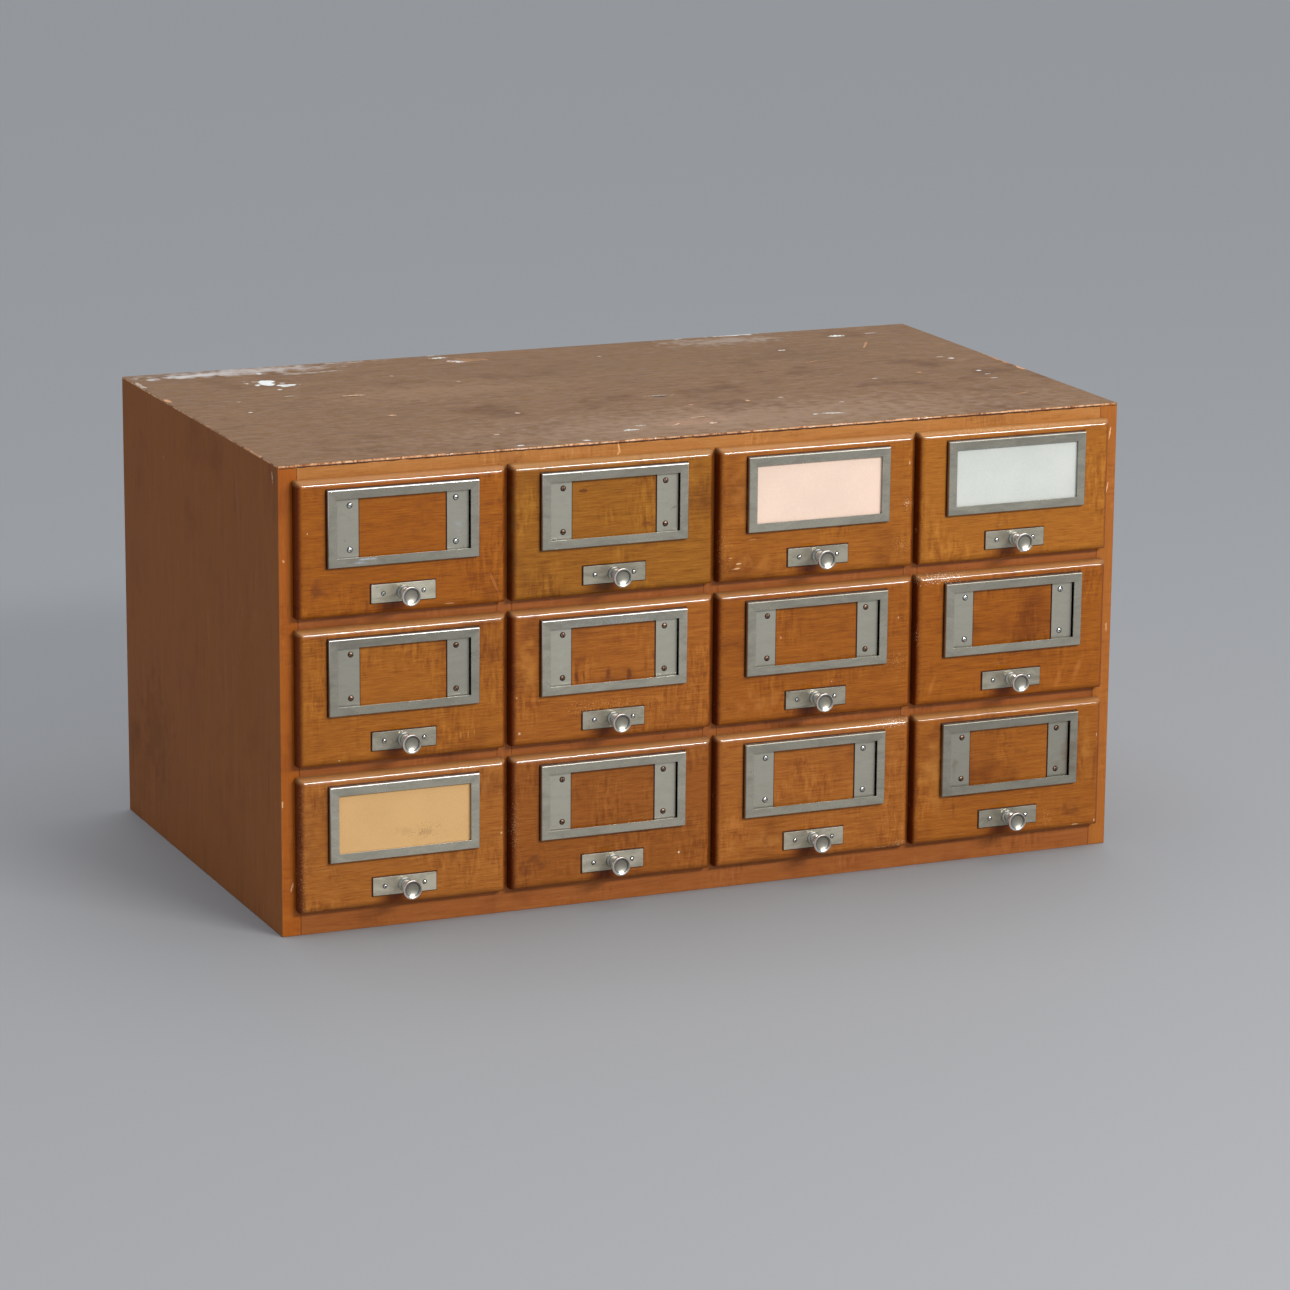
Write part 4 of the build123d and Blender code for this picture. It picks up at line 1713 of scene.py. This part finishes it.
def model_ferrule():
    """The collar that guides the rod: a bright ring at the plate, a groove, then a neck with a rolled lip."""
    x, z = home_x, home_rod
    tip = plate_face - ferrule_length
    stations = [(plate_face, 0.0054)]
    stations += arc(plate_face - 0.0010, 0.0047, 0.0008, 45, 135, 4)
    stations += profile(plate_face, (-2.1, 4.6), (-2.4, 4.1), (-3.2, 4.1), (-3.6, 4.6))
    stations += profile(tip, (2.2, 4.8), (1.8, 4.4))
    stations += arc(tip + 0.0009, 0.0041, 0.0008, 60, 150, 4)
    stations += [(tip, 0.0038), (tip, bore_radius + 0.0002), (tip + 0.0003, bore_radius)]
    stations += [(wood_face, bore_radius), (wood_face, 0.0050), (plate_face, 0.0052)]
    ferrule = turned_tube("rod_ferrule", x, z, stations)
    # painted shade lies in the groove, under the lip and where the collar meets the plate
    for vertex, dirt_shade_and_shine in zip(ferrule.data.vertices, *add_numbers(ferrule, "dirt_shade_and_shine")):
        out = math.hypot(vertex.co.x - x, vertex.co.z - z)
        grooved = at(out, 0.0041) and vertex.co.y > tip + 0.002
        dirt_shade_and_shine.value = 1.0 if grooved or at(out, 0.0044) or at(out, 0.0054) else 0.0
    return smooth(ferrule, 40, lathed=True)


def model_knob():
    """The card rod with its knob: a dished head, a lesser ring behind it, and the plain rod."""
    x, z = home_x, home_rod
    rim, bowl = 0.0064, 0.0118
    bowl_depth = bowl - math.sqrt(bowl**2 - rim**2)
    reach = math.degrees(math.asin(rim / bowl))
    stations = arc(head_face + bowl_depth - bowl, 0, bowl, 2.5, reach, 9)
    # the head, the groove, the lesser ring and its neck
    stations += profile(head_face, (0, 7.0), (0.3, 7.35), (0.8, 7.5), (2.2, 7.5), (3.0, 7.1), (3.6, 6.2))
    stations += profile(head_face, (3.9, 5.2), (4.3, 5.1), (4.8, 5.6), (5.8, 5.6), (6.3, 5.1), (6.6, 3.8))
    stations += [(head_face + 0.0074, rod_radius), (rod_end - 0.0007, rod_radius)]
    stations += [(rod_end, rod_radius - 0.0006)]
    knob = turned("card_rod_knob", x, z, stations)
    # the dish is duller than the rim round it
    for vertex, matt, dirt_shade_and_shine in zip(knob.data.vertices, *add_numbers(knob, "matt", "dirt_shade_and_shine")):
        across, up, y = vertex.co.x - x, vertex.co.z - z, vertex.co.y
        out = math.hypot(across, up)
        in_head = y < head_face + bowl_depth + 0.0001
        matt.value = 1.0 if in_head and out < rim - 0.0001 else 0.0
        if in_head and rim - 0.0008 < out < rim + 0.0001:
            # painted shade round the dish's rim, deepest at the upper right
            slant = (across + up) / out / math.sqrt(2)
            dirt_shade_and_shine.value = (0.86 if out > rim - 0.0001 else 0.62) + 0.14 * slant
        # painted highlight: a bare bright ring round the head's rim
        elif y < head_face + 0.0023 and out > rim:
            dirt_shade_and_shine.value = -0.7
        # painted shade in the groove and where the neck meets the rod
        elif any(at(out, neck) for neck in (0.0051, 0.0052, 0.0038)):
            dirt_shade_and_shine.value = 1.0
    return smooth(knob, 40, lathed=True)


def shine_folds(holder, shine):
    """Sets how strong the painted highlight on a holder's folds is; the weaker it is, the more matt the
    folds.
    """
    numbers = holder.data.attributes
    for matt, dirt_shade_and_shine in zip(numbers["matt"].data, numbers["dirt_shade_and_shine"].data):
        if dirt_shade_and_shine.value < 0:
            dirt_shade_and_shine.value = -shine
            matt.value = 1 - shine


def dress_fittings():
    patterns = model_holder(), model_screw(), model_plate(), model_ferrule(), model_knob()
    holder, screw, plate, ferrule, knob = patterns
    rng = random.Random(7)
    for place, (row, column) in enumerate(places):
        name = place_name(row, column)
        x, floor = cell_x(column), cell_floor(row)
        shift = cell_shift(row, column)
        drawer, fittings = f"drawer_{name}", f"front_fittings_{name}"
        piece = copy_piece(holder, f"label_holder_{name}", shift)
        give_tone(piece, holder_tones[place])
        shine_folds(piece, fold_shines[place])
        dress(piece, holder_steel, drawer, "plated_steel", fittings)
        piece = copy_piece(plate, f"knob_plate_{name}", shift)
        give_tone(piece, plate_tones[place])
        dress(piece, plate_steel, drawer, "plated_steel", fittings)
        piece = copy_piece(ferrule, f"rod_ferrule_{name}", shift)
        dress(piece, ferrule_nickel, drawer, "plated_steel", fittings)
        piece = copy_piece(knob, f"card_knob_{name}", shift)
        dress(piece, knob_nickel, f"rod_{name}", "knob_steel", f"card_rod_{name}")
        y, z = wood_face - holder_sheet, holder_centre(floor)
        spots = [
            (x + side * holder_screw_x, y, z + up * holder_screw_z, rng.uniform(0, math.pi))
            for side in (-1, 1)
            for up in (-1, 1)
        ]
        screws = set_screws(screw, f"holder_screws_{name}", spots)
        dress(screws, screw_steel if name in bright_screws else rusty_screw, drawer, "plated_steel")
        z = floor + rod_height
        spots = [(x + side * plate_screw_x, plate_face, z, rng.uniform(0, math.pi)) for side in (-1, 1)]
        screws = set_screws(screw, f"plate_screws_{name}", spots, 0.82)
        dress(screws, screw_steel, drawer, "plated_steel")
    for pattern in patterns:
        bpy.data.objects.remove(pattern, do_unlink=True)


# Label cards


def model_card(row, column, bow):
    """A card standing in the holder, its middle bowed a little."""
    x, floor = cell_x(column), cell_floor(row)
    bottom = holder_centre(floor) - holder_height / 2 + holder_sheet
    y = wood_face - holder_sheet - card_thickness - 0.0004
    clear_selection()
    bpy.ops.mesh.primitive_grid_add(
        x_subdivisions=28,
        y_subdivisions=12,
        size=1,
        location=(x, y, bottom + card_height / 2),
        rotation=(math.pi / 2, 0, 0),
    )
    card = bpy.context.object
    card.scale = (card_width, card_height, 1)
    place_in_mesh(card, f"card_sheet_{place_name(row, column)}")
    for vertex in card.data.vertices:
        across = (vertex.co.x - x) / (card_width / 2)
        vertex.co.y -= bow * (1 - across**2)
    finish_with(card, "SOLIDIFY", thickness=card_thickness, offset=-1)
    return smooth(card)


def dress_cards():
    for row, column, bow, material, slot in (
        (0, 2, 0.0005, peach_card, "peach_card"),
        (0, 3, 0.0003, white_card, "white_card"),
        (2, 0, 0.0007, manila_card, "manila_card"),
    ):
        name = place_name(row, column)
        dress(model_card(row, column, bow), material, f"drawer_{name}", slot, f"label_card_{name}")


dress_sides()
dress_boards()
dress_top()
dress_fronts()
dress_boxes()
dress_fittings()
dress_cards()


# Floor, light and camera


def make_stage():
    clear_selection()
    bpy.ops.mesh.primitive_plane_add(size=60, location=(0, 0, 0))
    floor = bpy.context.object
    floor.name = "studio_floor"
    material, tree, shader = start_material("pale floor")
    feed_all(tree, shader, Base_Color=stain(146, 146, 146), Roughness=0.7)
    floor.data.materials.append(material)
    world = bpy.data.worlds.new("studio")
    world.use_nodes = True
    tree = world.node_tree
    # the room is brighter to the right and behind than to the left
    x, y, _ = split(tree, tree.nodes.new("ShaderNodeTexCoord").outputs["Generated"])
    glow = spread(tree, plus(tree, x, y, 0.5), -1.0, 1.0, 0.45, 0.55)
    feed_all(tree, tree.nodes["Background"], Color=(0.8, 0.88, 1.0, 1), Strength=glow)
    bpy.context.scene.world = world
    bpy.context.scene.view_settings.view_transform = "Standard"


def add_light(name, kind, place, way, **settings):
    """A light at a place that shines along a way."""
    data = bpy.data.lights.new(name, kind)
    for key, value in settings.items():
        setattr(data, key, value)
    light = bpy.data.objects.new(name, data)
    light.location = place
    light.rotation_euler = Vector(way).to_track_quat("-Z", "Y").to_euler()
    bpy.context.scene.collection.objects.link(light)


def add_lights():
    """A wide low softbox, a weak fill in front, and a soft light from above."""
    case_middle = Vector((0, 0, 0.18))
    for name, place, width, height, power in (
        ("key softbox", (1.2, -2.95, 1.9), 1.7, 0.32, 84),
        ("front fill", (0.1, -3.4, 1.15), 2.6, 1.6, 10),
    ):
        way = case_middle - Vector(place)
        add_light(name, "AREA", place, way, shape="RECTANGLE", size=width, size_y=height, energy=power)
    add_light("ceiling light", "SUN", (0, 0, 0), (-0.1, -0.1, -1), angle=math.radians(70), energy=1.5)


def place_camera():
    """The photograph's angle and distance."""
    azimuth, elevation, roll = (math.radians(a) for a in (-23.185, 13.705, 0.427))
    matrix = Matrix.Translation((-1.483947, -3.530106, 1.085920)) @ Matrix.Rotation(azimuth, 4, "Z")
    matrix = matrix @ Matrix.Rotation(math.pi / 2 - elevation, 4, "X") @ Matrix.Rotation(roll, 4, "Z")
    data = bpy.data.cameras.new("camera")
    data.lens = 136.04
    data.sensor_width = 36
    data.clip_end = 100
    camera = bpy.data.objects.new("camera", data)
    camera.matrix_world = matrix
    bpy.context.scene.collection.objects.link(camera)
    bpy.context.scene.camera = camera


make_stage()
add_lights()
place_camera()
